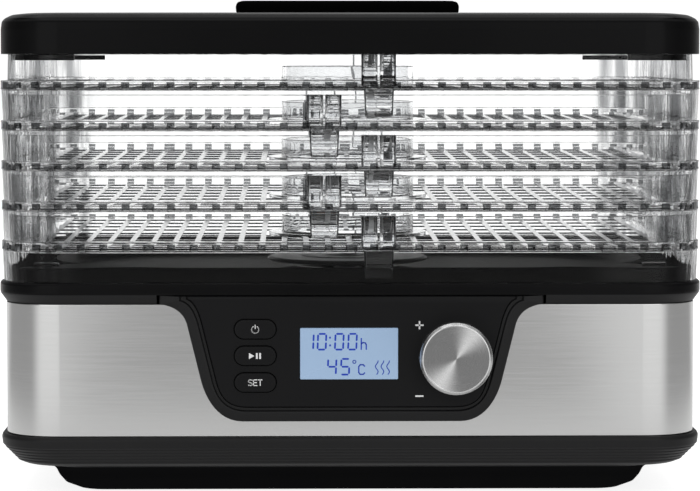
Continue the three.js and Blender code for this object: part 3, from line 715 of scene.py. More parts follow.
PLINTH_TOP = 10.5
# Painted shade: the plinth below 10.5 mm takes the darker black that reflects nothing, for the shade under
# the body.
paint(tub, lambda polygon: int(polygon.center.z < (PLINTH_TOP - TABLE) * MM))
intake = Moulding()
SLOT_PITCH, SLOT_COUNT, GRILLE_RADIUS = 6, 15, 46
for i in range(SLOT_COUNT):
    x = (i - SLOT_COUNT // 2) * SLOT_PITCH
    half = math.sqrt(GRILLE_RADIUS ** 2 - x * x) - 2
    intake.box((x - 1.5, -half, TABLE), (x + 1.5, half, 6))
FOOT_X, FOOT_Y = 118, 72
for sign_x in (-1, 1):
    for sign_y in (-1, 1):
        intake.skin(turned([(8.5, TABLE, 0), (8.5, 1.3, 0)], (sign_x * FOOT_X, sign_y * FOOT_Y, 0), sides=32))
        intake.skin(turned([(4.2, TABLE, 0), (4.2, 9, 0)], (sign_x * 128, sign_y * 62, 0), sides=24))
carve(tub, intake.made("intake_cutter"))
attach(tub, "base", "black_satin", "bottom_cover")

# %% [markdown]
# The steel wrap is one bent sheet. Its opening at the front follows the control panel, so
# the panel's outline is drawn first: a trapezoid with flared upper ends and round feet.


# %% Panel outline
def bezier(points, steps):
    """Points along a quadratic or cubic curve, without the first."""
    result = []
    for step in range(1, steps + 1):
        t = step / steps
        work = [Vector(p) for p in points]
        while len(work) > 1:
            work = [a.lerp(b, t) for a, b in zip(work, work[1:])]
        result.append(tuple(work[0]))
    return result


def panel_outline(inset, top=95.3):
    """Outline of the control panel, an inset inside its outer edge."""
    def side(z):
        return 71.6 + (z - 53) * 0.247 - 1.03 * inset
    top_here = top - 0.06 * inset
    bottom = 34.9 + inset
    flare_x = 91.8 - 1.9 * inset
    flare_z = min(91.2 + 0.35 * inset, top_here - 0.25)
    right = [(flare_x, top_here), (flare_x, flare_z)]
    right += bezier([(flare_x, flare_z), (side(91) + 0.4, flare_z - 1.2), (side(82), 82)], 8)
    right += [(side(55), 55)]
    right += bezier([
        (side(55), 55), (side(46), 46), (64 - 0.7 * inset, bottom), (52 - 0.4 * inset, bottom)], 12)
    left = [(-x, z) for x, z in reversed(right)]
    return right + left


print("panel outline points", len(panel_outline(0)))

# %% Steel wrap
wrap_profile = [
    (3.0, SKIRT_TOP + 0.3, 0.15), (3.0, STEEL_TOP, 0.15), (3.8, STEEL_TOP, 0.15),
    (3.8, SKIRT_TOP + 0.3, 0.15),
]
wrap = Moulding().skin(stack(wrap_profile, True, 2), ring=True).made("steel_wrap", BRUSHED_STEEL)
opening = Moulding().skin(along_depth(
    lambda inset: panel_outline(inset, 99), [(3.2, -130, 0), (3.2, -113, 0)]))
opening.skin(turned([(6.4, 0, 0), (6.4, 17, 0)], (96, 113, 46), "y", 40))
carve(wrap, opening.made("wrap_cutter"))
attach(wrap, "base", "steel", "steel_band")

# %% [markdown]
# The top moulding carries a round-edged lip with a bevel beneath it, a raised step that
# locates the lowest tray, and a basin with very round corners that falls to the air outlet.
# A rounded rectangle whose half sizes equal its radius is a circle, so the same stack of
# sections runs all the way into the round hole.

# %% Top moulding
OUTLET = 36
top_profile = [
    (170 - 8.8, 125 - 8.8, 21.2, 86, 0.2), (163.3, 118.3, 23.3, 86, 0.2), (163.3, 118.3, 23.3, 91.2, 0.2),
    (166.8, 121.8, 26.8, 91.2, 0.3), (169.7, 124.7, 29.7, 95.2, 0.5), (170, 125, 30, 96.3, 0.6),
    (170, 125, 30, 100.2, 0.7), (169.2, 124.2, 29.2, LIP_TOP, 0.5), (165.9, 120.9, 25.9, LIP_TOP, 0.3),
    (165.6, 120.6, 25.6, 107.2, 0.5), (164.9, 119.9, 24.9, RIM_TOP, 0.6),
    (146.6, 113.4, 72.4, RIM_TOP, 0.5), (145.2, 112.2, 71.2, RIM_TOP - 1.2, 0.8),
    (142.2, 109.2, 68.2, 99.0, 1.2), (139.5, 106.5, 65.5, 98.3, 1.2),
    (OUTLET + 1.2, OUTLET + 1.2, OUTLET + 1.2, 98.3, 0.5), (OUTLET, OUTLET, OUTLET, 97.4, 0.5),
    (OUTLET, OUTLET, OUTLET, 95.9, 0.2), (144, 111, 70, 95.9, 1.0),
    (148.4, 115.4, 74.4, RIM_TOP - WALL, 0.5), (161.2, 116.2, 21.2, RIM_TOP - WALL, 0.5),
]
housing = Moulding().skin(free_stack(top_profile, True), ring=True).made("top_moulding", SATIN_BLACK)
notch = Moulding().box((-93, -127, 80), (93, -115.9, 95.6)).made("notch_cutter")
carve(housing, notch)
housing.data.materials.clear()
for finish in (BASIN_BLACK, GLOSS_BLACK, SATIN_BLACK, DEEP_BLACK):
    housing.data.materials.append(finish)
BASIN_X, BASIN_Y, BEVEL_TOP = 146.6, 113.4, 97


def housing_finish(polygon):
    """Basin, lip, bevel under the lip, or raised step."""
    point, height = polygon.center, polygon.center.z / MM + TABLE
    in_basin = abs(point.x) < BASIN_X * MM and abs(point.y - BACK_SHIFT) < BASIN_Y * MM
    under_lip = polygon.normal.z < -0.3 and height < BEVEL_TOP
    return 0 if in_basin else 2 if under_lip else 3 if height > LIP_TOP else 1


paint(housing, housing_finish)
attach(housing, "base", "black_satin", "top_housing")

# %% [markdown]
# Small parts of the outlet: a spider with a boss in the middle that carries the cap, and a
# pair of stop lugs at each corner of the basin.

# %% Outlet spider and lugs
spider = Moulding()
for angle in (math.pi / 4, 3 * math.pi / 4):
    c, s = math.cos(angle), math.sin(angle)
    outline = [(-37, -1.6), (37, -1.6), (37, 1.6), (-37, 1.6)]
    spider.skin([[(x * c - y * s, x * s + y * c, z) for x, y in outline] for z in (96.0, 98.2)])
spider.skin(turned([(0, 93, 0), (7.5, 93, 0.5), (7.5, 99.7, 0.5), (0, 99.7, 0)], (0, 0, 0)))
attach(spider.made("outlet_spider", SATIN_BLACK), "base", "black_satin")
lugs = Moulding()
for sign_x in (-1, 1):
    for sign_y in (-1, 1):
        x, y = sign_x * 147, sign_y * 103
        lugs.skin([
            [(x + u, y + v, RIM_TOP + up) for u, v in rounded_rectangle(6 - back, 3 - back, 1.2, 4)]
            for up, back in ((-1, 0), (1.1, 0), (1.5, 0.3), (1.6, 0.8))])
attach(lugs.made("corner_lugs", GLOSS_BLACK), "base", "black_satin")

# %% [markdown]
# The cap is a shallow disc that spreads the air before it reaches the first tray. It has a
# raised middle with a screw under a domed cover.

# %% Air cap
cap_low, cap_top = RIM_TOP - 4.6, RIM_TOP - 2.3
cap = Moulding().skin(turned([
    (0, 100.1, 0), (6, 100.1, 0.5), (6.6, cap_low, 1), (39.6, cap_low, 0.5), (41.2, cap_low + 0.6, 0.5),
    (41.2, cap_top - 0.9, 0.6), (40, cap_top, 0.8), (24, cap_top + 0.1, 0.4), (23.4, cap_top + 0.5, 0.4),
    (11.4, cap_top + 0.5, 0.4), (10.2, cap_top + 1.0, 0.6), (0, cap_top + 1.0, 0),
], (0, 0, 0), sides=96)).made("air_cap_disc", SATIN_BLACK)
attach(cap, "base", "black_satin", "air_cap")
screw_cover = Moulding().skin(turned([
    (0, cap_top + 1.05, 0), (5, cap_top + 1.05, 0.3), (4.6, cap_top + 2.4, 0.8), (2.6, cap_top + 3.7, 1.2),
    (0, cap_top + 4.0, 0),
], (0, 0, 0), sides=40)).made("cap_screw_cover", GLOSS_BLACK)
attach(screw_cover, "base", "black_satin", "cap_screw")

# %% [markdown]
# ## The control panel
# A dish with a chamfered rim stands on the steel. The face lies in it behind a narrow dark
# groove, with holes for three pill keys, the display and the knob's shaft.


# %% Openings in the panel
KEY_X, KEY_ZS, KEY_HALF, KEY_R, KEY_FRONT = -46, (79.4, 66.7, 53.9), 10.05, 4.65, -126.4
DISPLAY_X, DISPLAY_Z, DISPLAY_HALF_X, DISPLAY_HALF_Z = -1.2, 67.6, 23.4, 12.3
PANEL_FRONT = -125.2


def pill(grow, steps=8):
    return lambda inset: rounded_rectangle(
        KEY_HALF + grow - inset, KEY_R + grow - inset, KEY_R + grow - inset - 0.01, steps)


def at(outline, x, z):
    return lambda inset: [(x + u, z + v) for u, v in outline(inset)]


def display_outline(grow):
    return lambda inset: rounded_rectangle(
        DISPLAY_HALF_X + grow - inset, DISPLAY_HALF_Z + grow - inset, 0.5, 3)


def panel_cutter(grow, y0, y1):
    cutter = Moulding()
    for z in KEY_ZS:
        cutter.skin(along_depth(at(pill(grow), KEY_X, z), [(0, y0, 0), (0, y1, 0)]))
    cutter.skin(along_depth(at(display_outline(grow), DISPLAY_X, DISPLAY_Z), [(0, y0, 0), (0, y1, 0)]))
    cutter.skin(turned([(4, y0, 0), (4, y1, 0)], (KNOB["x"], 0, KNOB["z"]), "y", 32))
    return cutter.made("panel_cutter")


frame_piece = Moulding().skin(along_depth(panel_outline, [
    (3.8, -117.2, 0), (3.8, -121.7, 0.2), (0, -121.7, 0.2), (0, -123.4, 0.5), (4.3, -125.8, 0.5),
    (5.0, -125.8, 0.3), (5.5, -124.2, 0.3), (6.8, -124.2, 0.2), (6.8, -122.6, 0),
])).made("panel_frame", SATIN_BLACK, sharp=38)
carve(frame_piece, panel_cutter(0.6, -130, -110))
attach(frame_piece, "base", "black_satin", "fascia_frame")
face = Moulding().skin(along_depth(panel_outline, [
    (7.1, -122.9, 0), (7.1, PANEL_FRONT + 0.35, 0.2), (7.45, PANEL_FRONT, 0),
])).made("panel_face", FACE_BLACK, sharp=38)
carve(face, panel_cutter(0.3, -130, -120))
attach(face, "base", "black_satin", "face_panel")

# %% [markdown]
# The keys are pills with rounded edges. Each carries a printed sign, made as a thin plate a
# few hundredths of a millimetre proud, so that it is true geometry and moves with its key.


# %% Printed signs
INK = 0.06


class Sign(Moulding):
    """Flat strokes printed on a face that looks towards the front."""

    def plate(self, outline, y):
        area = sum(a[0] * b[1] - b[0] * a[1] for a, b in zip(outline, outline[1:] + outline[:1]))
        if area < 0:
            outline = outline[::-1]
        return self.skin([[(x, depth, z) for x, z in outline] for depth in (y - INK, y + 0.02)])

    def stroke(self, points, width, y):
        """A line of straight pieces, each a thin bar."""
        for a, b in zip(points, points[1:]):
            run = (Vector(b) - Vector(a)).normalized()
            side = Vector((-run.y, run.x)) * width / 2
            reach = run * width * 0.35
            corners = [Vector(a) - reach + side, Vector(a) - reach - side,
                       Vector(b) + reach - side, Vector(b) + reach + side]
            self.plate([tuple(c) for c in corners], y)
        return self


def arc(x, z, radius, start, end, steps=14):
    angles = [math.radians(start + (end - start) * i / steps) for i in range(steps + 1)]
    return [(x + radius * math.cos(a), z + radius * math.sin(a)) for a in angles]


LETTER_STROKES = {
    "S": [[(1, 0.92), (0.75, 1), (0.25, 1), (0, 0.85), (0, 0.65), (0.25, 0.53), (0.75, 0.47), (1, 0.35),
           (1, 0.15), (0.75, 0), (0.25, 0), (0, 0.08)]],
    "E": [[(1, 1), (0, 1), (0, 0), (1, 0)], [(0, 0.52), (0.85, 0.52)]],
    "T": [[(0, 1), (1, 1)], [(0.5, 1), (0.5, 0)]],
    "C": [[(1, 0.85), (0.75, 1), (0.25, 1), (0, 0.8), (0, 0.2), (0.25, 0), (0.75, 0), (1, 0.15)]],
    "h": [[(0, 1), (0, 0)], [(0, 0.5), (0.35, 0.62), (0.8, 0.58), (0.95, 0.42), (0.95, 0)]],
}


def letter(sign, name, x, z, width, height, line, y):
    for run in LETTER_STROKES[name]:
        sign.stroke([(x + u * width, z + v * height) for u, v in run], line, y)


power_sign, start_sign, set_sign = Sign(), Sign(), Sign()
x, z = KEY_X, KEY_ZS[0]
power_sign.stroke(arc(x, z - 0.1, 1.7, 122, 418, 18), 0.42, KEY_FRONT)
power_sign.stroke([(x, z + 2.1), (x, z + 0.4)], 0.42, KEY_FRONT)
z = KEY_ZS[1]
start_sign.plate([(x - 3.0, z - 1.45), (x - 0.4, z), (x - 3.0, z + 1.45)], KEY_FRONT)
for bar in (0.35, 1.9):
    start_sign.plate([(x + bar + u, z + v) for u, v in ((0, -1.4), (0.85, -1.4), (0.85, 1.4), (0, 1.4))],
                     KEY_FRONT)
z = KEY_ZS[2]
for i, name in enumerate("SET"):
    letter(set_sign, name, x - 3.2 + i * 2.35, z - 1.35, 1.7, 2.7, 0.42, KEY_FRONT)

# %% Keys
for z, node, body, sign in zip(
        KEY_ZS, ("button_power", "button_start_pause", "button_set"),
        ("key_power", "key_start_pause", "key_set"), (power_sign, start_sign, set_sign)):
    key = Moulding().skin(along_depth(at(pill(0), KEY_X, z), [
        (0, -117.4, 0), (0, KEY_FRONT + 0.7, 0.3), (0.35, KEY_FRONT + 0.1, 0.3), (0.9, KEY_FRONT, 0.3),
        (2.2, KEY_FRONT, 0),
    ])).made(body + "_pill", FACE_BLACK)
    attach(key, body, "black_gloss", node)
    attach(sign.made(body + "_sign", PRINT_WHITE), body, "grey_plastic")

# %% [markdown]
# A plus and a minus are printed above and below the knob.

# %% Plus and minus
knob_signs = Sign()
plus_x = 32.4
knob_signs.stroke([(plus_x - 1.7, 81.2), (plus_x + 1.7, 81.2)], 0.75, PANEL_FRONT)
knob_signs.stroke([(plus_x, 79.5), (plus_x, 82.9)], 0.75, PANEL_FRONT)
knob_signs.stroke([(plus_x - 1.7, 47.2), (plus_x + 1.7, 47.2)], 0.75, PANEL_FRONT)
attach(knob_signs.made("knob_signs", PRINT_WHITE), "base", "grey_plastic")

# %% [markdown]
# The display shows a time and a temperature in seven-segment digits. Which segments a digit
# lights is a small table, and each segment is a bar with pointed ends.


# %% Display
window = Moulding().skin(along_depth(
    at(display_outline(0), DISPLAY_X, DISPLAY_Z),
    [(0, PANEL_FRONT + 1.6, 0), (0, PANEL_FRONT + 0.15, 0.1), (0.2, PANEL_FRONT, 0)],
)).made("display_panel", PANEL_BLUE)
attach(window, "base", "display", "display_window")
SEGMENTS = {"0": "abcdef", "1": "bc", "4": "fgbc", "5": "afgcd"}
SEGMENT_LINES = {
    "a": ((0, 1), (1, 1)), "b": ((1, 1), (1, 0.5)), "c": ((1, 0.5), (1, 0)), "d": ((0, 0), (1, 0)),
    "e": ((0, 0.5), (0, 0)), "f": ((0, 1), (0, 0.5)), "g": ((0, 0.5), (1, 0.5)),
}
LEAN = 0.045


def digit(sign, figure, x, z, width, height, line):
    """One seven-segment digit, leaning a little."""
    for name in SEGMENTS[figure]:
        a, b = (Vector((x + u * width + v * height * LEAN, z + v * height)) for u, v in SEGMENT_LINES[name])
        run = (b - a).normalized()
        side = Vector((-run.y, run.x)) * line / 2
        a, b = a + run * 0.22, b - run * 0.22
        tip = run * line * 0.45
        outline = (a, a + tip - side, b - tip - side, b, b - tip + side, a + tip + side)
        sign.plate([tuple(p) for p in outline], PANEL_FRONT)


reading = Sign()
for figure, x in zip("1000", (-22.3, -16.3, -8.0, -1.7)):
    digit(reading, figure, x, 69.6, 3.9, 7.5, 0.85)
for z in (71.6, 75.3):
    reading.plate([(u, z + v) for u, v in ((-10.7, -0.45), (-9.9, -0.45), (-9.9, 0.45), (-10.7, 0.45))],
                  PANEL_FRONT)
letter(reading, "h", 4.6, 69.7, 2.5, 5.2, 0.6, PANEL_FRONT)
for figure, x in zip("45", (-11.5, -5.2)):
    digit(reading, figure, x, 57.6, 3.9, 7.5, 0.85)
reading.stroke(arc(1.3, 63.7, 0.75, 0, 360, 10), 0.4, PANEL_FRONT)
letter(reading, "C", 3.4, 57.7, 2.8, 4.6, 0.6, PANEL_FRONT)
for i in range(3):
    wave = [(12.0 + i * 2.7 + 0.65 * math.sin(t * 0.9), 57.7 + t * 0.72) for t in range(10)]
    reading.stroke(wave, 0.42, PANEL_FRONT)
attach(reading.made("display_reading", SEGMENT_BLUE), "base", "display")

# %% [markdown]
# The knob is a turned cap with a bright spun face, a polished bevel and a plain side.

# %% Knob
knob = Moulding()
knob.skin(turned([
    (16.1, KNOB["back"], 0), (KNOB["radius"], KNOB["back"], 0.2), (KNOB["radius"], KNOB["front"] + 1.7, 0.4),
    (KNOB["radius"] - 1.3, KNOB["front"] + 0.1, 0.3), (KNOB["radius"] - 1.75, KNOB["front"], 0.15),
    (KNOB["radius"] - 2.0, KNOB["front"] + 0.2, 0.1), (0, KNOB["front"] + 0.25, 0),
    (0, KNOB["front"] + 1.5, 0), (16.1, KNOB["front"] + 1.5, 0),
], (KNOB["x"], 0, KNOB["z"]), "y", 120), ring=True)
knob = knob.made("knob_shell", EDGE_METAL, SPUN_FACE)
middle = Vector(placed((KNOB["x"], 0, KNOB["z"])))
SPUN_RADIUS = 15.6


def knob_finish(polygon):
    offset = polygon.center - middle
    return int(math.hypot(offset.x, offset.z) < SPUN_RADIUS * MM and polygon.normal.y < -0.5)


paint(knob, knob_finish)
attach(knob, "knob", "aluminium", "knob_cap")

# %% [markdown]
# ## The trays
# A tray is one moulding: a skirt below, a band with a row of windows, a wall that rises into
# the next tray, and a perforated floor with a collar round the middle. Trays alternate, each
# turned half round on the one below, so their clips step from side to side.
#
# The floor is a lattice of bars and slats. A geometry tree draws it as a flat grid with uneven
# spacing, drops the faces of the holes, and gives the rest a thickness. That keeps it one
# closed solid, where crossed bars would run through each other.

# %% Perforated floor
TRAY_PITCH, BAND, TRAY_INSET, UPSTAND = 19.3, 4.2, 0.8, 12.7
BAR_PITCH = 10.77
SKIRT_FOOT = -TRAY_PITCH + 0.3


def new_tree(name, sockets):
    """A geometry tree with named inputs, and the board for its nodes."""
    tree = bpy.data.node_groups.new(name, "GeometryNodeTree")
    tree.interface.new_socket("Geometry", in_out="OUTPUT", socket_type="NodeSocketGeometry")
    for label, kind in sockets:
        tree.interface.new_socket(label, in_out="INPUT", socket_type=kind)
    board = Board(tree)
    source = board.add("NodeGroupInput")
    return tree, board, {label: source.other(label) for label, kind in sockets}


def run_tree(name, tree, values, start=None):
    """Runs a tree on a mesh and returns the result as a plain object."""
    made = bpy.data.objects.new(name, start or bpy.data.meshes.new(name))
    scene.collection.objects.link(made)
    modifier = made.modifiers.new("build", "NODES")
    modifier.node_group = tree
    for item in tree.interface.items_tree:
        if item.in_out == "INPUT" and item.name in values:
            modifier[item.identifier] = values[item.name]
    return plain_mesh(made)


def lattice_tree():
    tree, board, given = new_tree("perforated_floor", [
        ("Bar Pitch", "NodeSocketFloat"), ("Bar Width", "NodeSocketFloat"), ("Slat Pitch", "NodeSocketFloat"),
        ("Slat Width", "NodeSocketFloat"), ("Thickness", "NodeSocketFloat"), ("Half X", "NodeSocketFloat"),
        ("Half Y", "NodeSocketFloat"), ("Corner", "NodeSocketFloat"), ("Hub", "NodeSocketFloat"),
        ("Bars", "NodeSocketInt"), ("Slats", "NodeSocketInt"), ("Material", "NodeSocketMaterial"),
        ("Slat Material", "NodeSocketMaterial"),
    ])
    grid = board.add("GeometryNodeMeshGrid", None, {
        "Size X": given["Bars"] * 2 - 1, "Size Y": given["Slats"] * 2 - 1,
        "Vertices X": given["Bars"] * 2, "Vertices Y": given["Slats"] * 2,
    }, out="Mesh")
    spot = board.add("ShaderNodeSeparateXYZ", None, {0: board.add("GeometryNodeInputPosition")})

    def spaced(value, count, pitch, width):
        """Uniform steps become bar, hole, bar, hole."""
        step = value.math("ROUND", value + (count * 2 - 1) * 0.5)
        odd = value.math("MODULO", step, 2.0)
        return (step - odd) * 0.5 * pitch + odd * width - (count - 1) * 0.5 * pitch - width * 0.5

    new_x = spaced(spot, given["Bars"], given["Bar Pitch"], given["Bar Width"])
    new_y = spaced(spot.other("Y"), given["Slats"], given["Slat Pitch"], given["Slat Width"])
    moved = board.add("GeometryNodeSetPosition", None, {
        "Geometry": grid, "Position": board.add("ShaderNodeCombineXYZ", None, {0: new_x, 1: new_y, 2: 0.0}),
    })
    middle = board.add("ShaderNodeSeparateXYZ", None, {0: board.add("GeometryNodeInputPosition")})
    cx, cy = middle, middle.other("Y")

    def within(value, count, pitch, width):
        """1 where a face's middle lies in a gap between bars."""
        whole = value.math("FLOORED_MODULO", value + count * 0.5 * pitch, pitch)
        return value.math("ABSOLUTE", whole - pitch * 0.5) > width * 0.5

    between_bars = within(cx, given["Bars"], given["Bar Pitch"], given["Bar Width"])
    hole = between_bars * within(cy, given["Slats"], given["Slat Pitch"], given["Slat Width"])
    away = cx.math("SQRT", cx * cx + cy * cy)
    far_x = cx.math("MAXIMUM", cx.math("ABSOLUTE", cx) - (given["Half X"] - given["Corner"]), 0.0)
    far_y = cx.math("MAXIMUM", cx.math("ABSOLUTE", cy) - (given["Half Y"] - given["Corner"]), 0.0)
    outside = cx.math("SQRT", far_x * far_x + far_y * far_y) > given["Corner"]
    dropped = (hole + outside + (away < given["Hub"])) > 0.5
    kept = board.add(
        "GeometryNodeDeleteGeometry", {"domain": "FACE"}, {"Geometry": moved, "Selection": dropped})
    raised = board.add("GeometryNodeExtrudeMesh", {"mode": "FACES"}, {
        "Mesh": kept, "Offset": (0.0, 0.0, 1.0), "Offset Scale": given["Thickness"], "Individual": False,
    })
    under = board.add("GeometryNodeFlipFaces", None, {"Mesh": kept})
    both = board.add("GeometryNodeJoinGeometry")
    for part in (raised, under):
        board.tree.links.new(part.socket, both.node.inputs[0])
    closed = board.add("GeometryNodeMergeByDistance", None, {"Geometry": both, "Distance": 0.00001})
    real = board.add("GeometryNodeRealizeInstances", None, {"Geometry": closed})
    painted = board.add("GeometryNodeSetMaterial", None, {"Geometry": real, "Material": given["Material"]})
    painted = board.add("GeometryNodeSetMaterial", None, {
        "Geometry": painted, "Selection": between_bars > 0.5, "Material": given["Slat Material"]})
    board.add("NodeGroupOutput", None, {0: painted})
    return tree


FLOOR_TREE = lattice_tree()
# The slats between the bars take the near-black clear finish, which is painted shade.
lattice = run_tree("floor_lattice", FLOOR_TREE, {
    "Bar Pitch": BAR_PITCH * MM, "Bar Width": 2.8 * MM, "Slat Pitch": 27 * MM, "Slat Width": 2.4 * MM,
    "Thickness": 0.85 * MM, "Half X": 0.1600, "Half Y": 0.1150, "Corner": 0.0220, "Hub": 0.0385,
    "Bars": 29, "Slats": 9, "Material": CLEAR_BAR, "Slat Material": CLEAR_SLAT,
})
print("lattice faces", len(lattice.data.polygons))

# %% [markdown]
# The band round the tray is a ladder: two thin rails with the ends of the floor's bars
# between them. A second tree walks the tray's outline, starting at the middle of the front,
# and sets one block per bar. Three of them on each long side belong to wider bars.


# %% Bar ends round the band
def bar_end_tree():
    tree, board, given = new_tree("bar_ends", [
        ("Outline", "NodeSocketGeometry"), ("Count", "NodeSocketInt"), ("Width", "NodeSocketFloat"),
        ("Wide", "NodeSocketFloat"), ("Depth", "NodeSocketFloat"), ("Height", "NodeSocketFloat"),
        ("Side Post", "NodeSocketInt"), ("Material", "NodeSocketMaterial"),
    ])
    path = board.add("GeometryNodeMeshToCurve", None, {"Mesh": given["Outline"]})
    path = board.add("GeometryNodeResampleCurve", {"mode": "COUNT"}, {"Curve": path, "Count": given["Count"]})
    tangent = board.add("GeometryNodeInputTangent")
    turn = board.add("FunctionNodeAlignEulerToVector", {"axis": "X"}, {"Vector": tangent})
    half_way = given["Count"] * 0.5
    order = board.add("GeometryNodeInputIndex")
    step = tangent.math("MODULO", order, half_way)
    from_side = step.math("ABSOLUTE", step - given["Side Post"])
    from_other = step.math("ABSOLUTE", step - (half_way - given["Side Post"]))
    wide = ((step < 0.5) + (from_side < 0.5) + (from_other < 0.5)) > 0.5
    width = given["Width"] + wide * (given["Wide"] - given["Width"])
    block = board.add("GeometryNodeMeshCube", None, {"Size": (1.0, 1.0, 1.0)}, out="Mesh")
    size = board.add("ShaderNodeCombineXYZ", None, {0: width, 1: given["Depth"], 2: given["Height"]})
    set_out = board.add("GeometryNodeInstanceOnPoints", None, {
        "Points": path, "Instance": block, "Rotation": turn, "Scale": size,
    })
    real = board.add("GeometryNodeRealizeInstances", None, {"Geometry": set_out})
    painted = board.add("GeometryNodeSetMaterial", None, {"Geometry": real, "Material": given["Material"]})
    board.add("NodeGroupOutput", None, {0: painted})
    return tree


def band_outline(inset, z, steps=24):
    """A closed loop of edges that starts at the middle of the front and runs to the right."""
    loop = rounded_rectangle(HALF_X - inset, HALF_Y - inset, CORNER - inset, steps)
    start = max(i for i, p in enumerate(loop) if p[0] < 0) + 1
    loop = [(0, -(HALF_Y - inset))] + loop[start:] + loop[:start]
    mesh = bpy.data.meshes.new("band_outline")
    mesh.from_pydata([(x * MM, y * MM, z * MM) for x, y in loop],
                     [(i, (i + 1) % len(loop)) for i in range(len(loop))], [])
    return mesh


BAR_END_TREE = bar_end_tree()
BAR_END_COUNT = 104
# The blocks take the dark clear finish, which is painted shade.
bar_ends = run_tree("bar_ends", BAR_END_TREE, {
    "Count": BAR_END_COUNT, "Width": 3.8 * MM, "Wide": 5.7 * MM, "Depth": 1.3 * MM, "Height": 2.9 * MM,
    "Side Post": 9, "Material": BAR_END,
}, band_outline(TRAY_INSET + 0.8, -BAND / 2))
print("bar ends", len(bar_ends.data.polygons) // 6)

# %% [markdown]
# The walls of a tray are one ring of sections: skirt, grooved band, shelf and upstand. The
# collar is a turned ring. A clip at the front and the rear has a split post that stands in
# the tray above, and a tongue that hangs over the tray below.

# %% Tray walls, collar and clips
tray_profile = [
    (TRAY_INSET + 1.0, SKIRT_FOOT, 0.25), (TRAY_INSET + 0.4, -BAND - 0.1, 0.1), (TRAY_INSET, -BAND, 0.12),
    (TRAY_INSET, -BAND + 0.65, 0.1), (TRAY_INSET + 1.3, -BAND + 0.65, 0), (TRAY_INSET + 1.3, -0.65, 0),
    (TRAY_INSET, -0.65, 0.1), (TRAY_INSET, 0, 0.2), (TRAY_INSET + 3.3, 0, 0.5),
    (TRAY_INSET + 3.6, UPSTAND, 0.3), (TRAY_INSET + 5.2, UPSTAND, 0.3), (TRAY_INSET + 4.9, -2.2, 0.6),
    (TRAY_INSET + 12, -2.2, 0.1), (TRAY_INSET + 12, -BAND, 0.1), (TRAY_INSET + 1.9, -BAND, 0.5),
    (TRAY_INSET + 2.8, SKIRT_FOOT, 0.25),
]
WALL_Y = HALF_Y - TRAY_INSET
CLIP_X = 13


def metres(point):
    return tuple(v * MM for v in point)


walls = Moulding().skin(stack(tray_profile, True, 2), ring=True)
walls.skin(turned([
    (40.5, -BAND, 0), (40.5, -2.2, 0.2), (34, -2.2, 0.6), (34, 6.8, 0.4), (31.6, 6.8, 0.4), (31.6, -BAND, 0),
], (0, 0, 0), sides=72), ring=True, finish=1)


def clip_part(side, x0, x1, taper, inset_from, inset_to, z0, z1):
    """A block with round edges on the wall's line, narrower at its foot by the taper."""
    y0, y1 = sorted((side * (WALL_Y - inset_from), side * (WALL_Y - inset_to)))
    x, y, half_x, half_y = (x0 + x1) / 2, (y0 + y1) / 2, (x1 - x0) / 2, (y1 - y0) / 2
    round_edge = min(1.5, half_y - 0.05)
    walls.skin([
        [(x + u, y + v, z) for u, v in rounded_rectangle(
            half_x - back - taper * (z1 - z) / (z1 - z0), half_y - back, max(round_edge - back, 0.1), 5)]
        for z, back in ((z0, 0.6), (z0 + 0.25, 0.2), (z0 + 0.8, 0), (z1 - 0.5, 0), (z1, 0.3))
    ], finish=1)


for side in (-1, 1):
    for x0, x1 in ((CLIP_X - 8.3, CLIP_X - 0.5), (CLIP_X + 0.5, CLIP_X + 8.3)):
        clip_part(side, x0, x1, 0, 4.2, 8.6, -2.7, UPSTAND)
    clip_part(side, CLIP_X - 7.2, CLIP_X + 7.2, 0.6, -1.2, 1.2, -BAND - 12.8, -BAND + 0.3)
walls = walls.made("tray_walls", CLEAR_WALL, CLIP_CLEAR, CLIP_EDGE, place=metres)


def wall_finish(polygon):
    """The clips' sides take a near-black clear finish: painted shade for the dark edges that clear blocks
    show.
    """
    beside_clip = abs(abs(polygon.center.x - CLIP_X * MM) - 7.5 * MM) < 1.3 * MM
    painted_dark = polygon.material_index == 1 and beside_clip and abs(polygon.normal.x) > 0.35
    return 2 if painted_dark else polygon.material_index


paint(walls, wall_finish)
print("wall faces", len(walls.data.polygons))

# %% Five trays
TRAYS = 5
for number in range(1, TRAYS + 1):
    band_top = LIP_TOP + TRAY_PITCH * number
    turn = Matrix.Rotation(0 if number % 2 else math.pi, 4, "Z")
    place = Matrix.Translation(placed((0, 0, band_top))) @ turn
    for template, part, lift, stands_for in (
            (walls, "walls", 0, [f"tray_{number}"]), (lattice, "floor", -4.05, []),
            (bar_ends, "bar_ends", 0, [])):
        mesh = template.data.copy()
        mesh.transform(place @ Matrix.Translation((0, 0, lift * MM)))
        piece = bpy.data.objects.new(f"tray_{number}_{part}", mesh)
        scene.collection.objects.link(piece)
        attach(piece, f"tray_{number}", "clear", *stands_for)
for template in (walls, lattice, bar_ends):
    bpy.data.objects.remove(template)

# %% [markdown]
# ## The lid
# The lid is one polished black moulding. Its sections start on the floor of the finger
# hollow, climb out of it, cross the crown, fall down the outside and come back inside, so
# the hollow and the shell are one closed skin. The vents are cut after, and so is the
# locating rib, which is left only at the four corners.

# %% Lid
LID_EDGE = LIP_TOP + TRAY_PITCH * TRAYS + UPSTAND


def lid_level(inset, z, rounding, corner=None):
    return (HALF_X - inset, HALF_Y - inset, corner or max(CORNER - inset, 4), z, rounding)


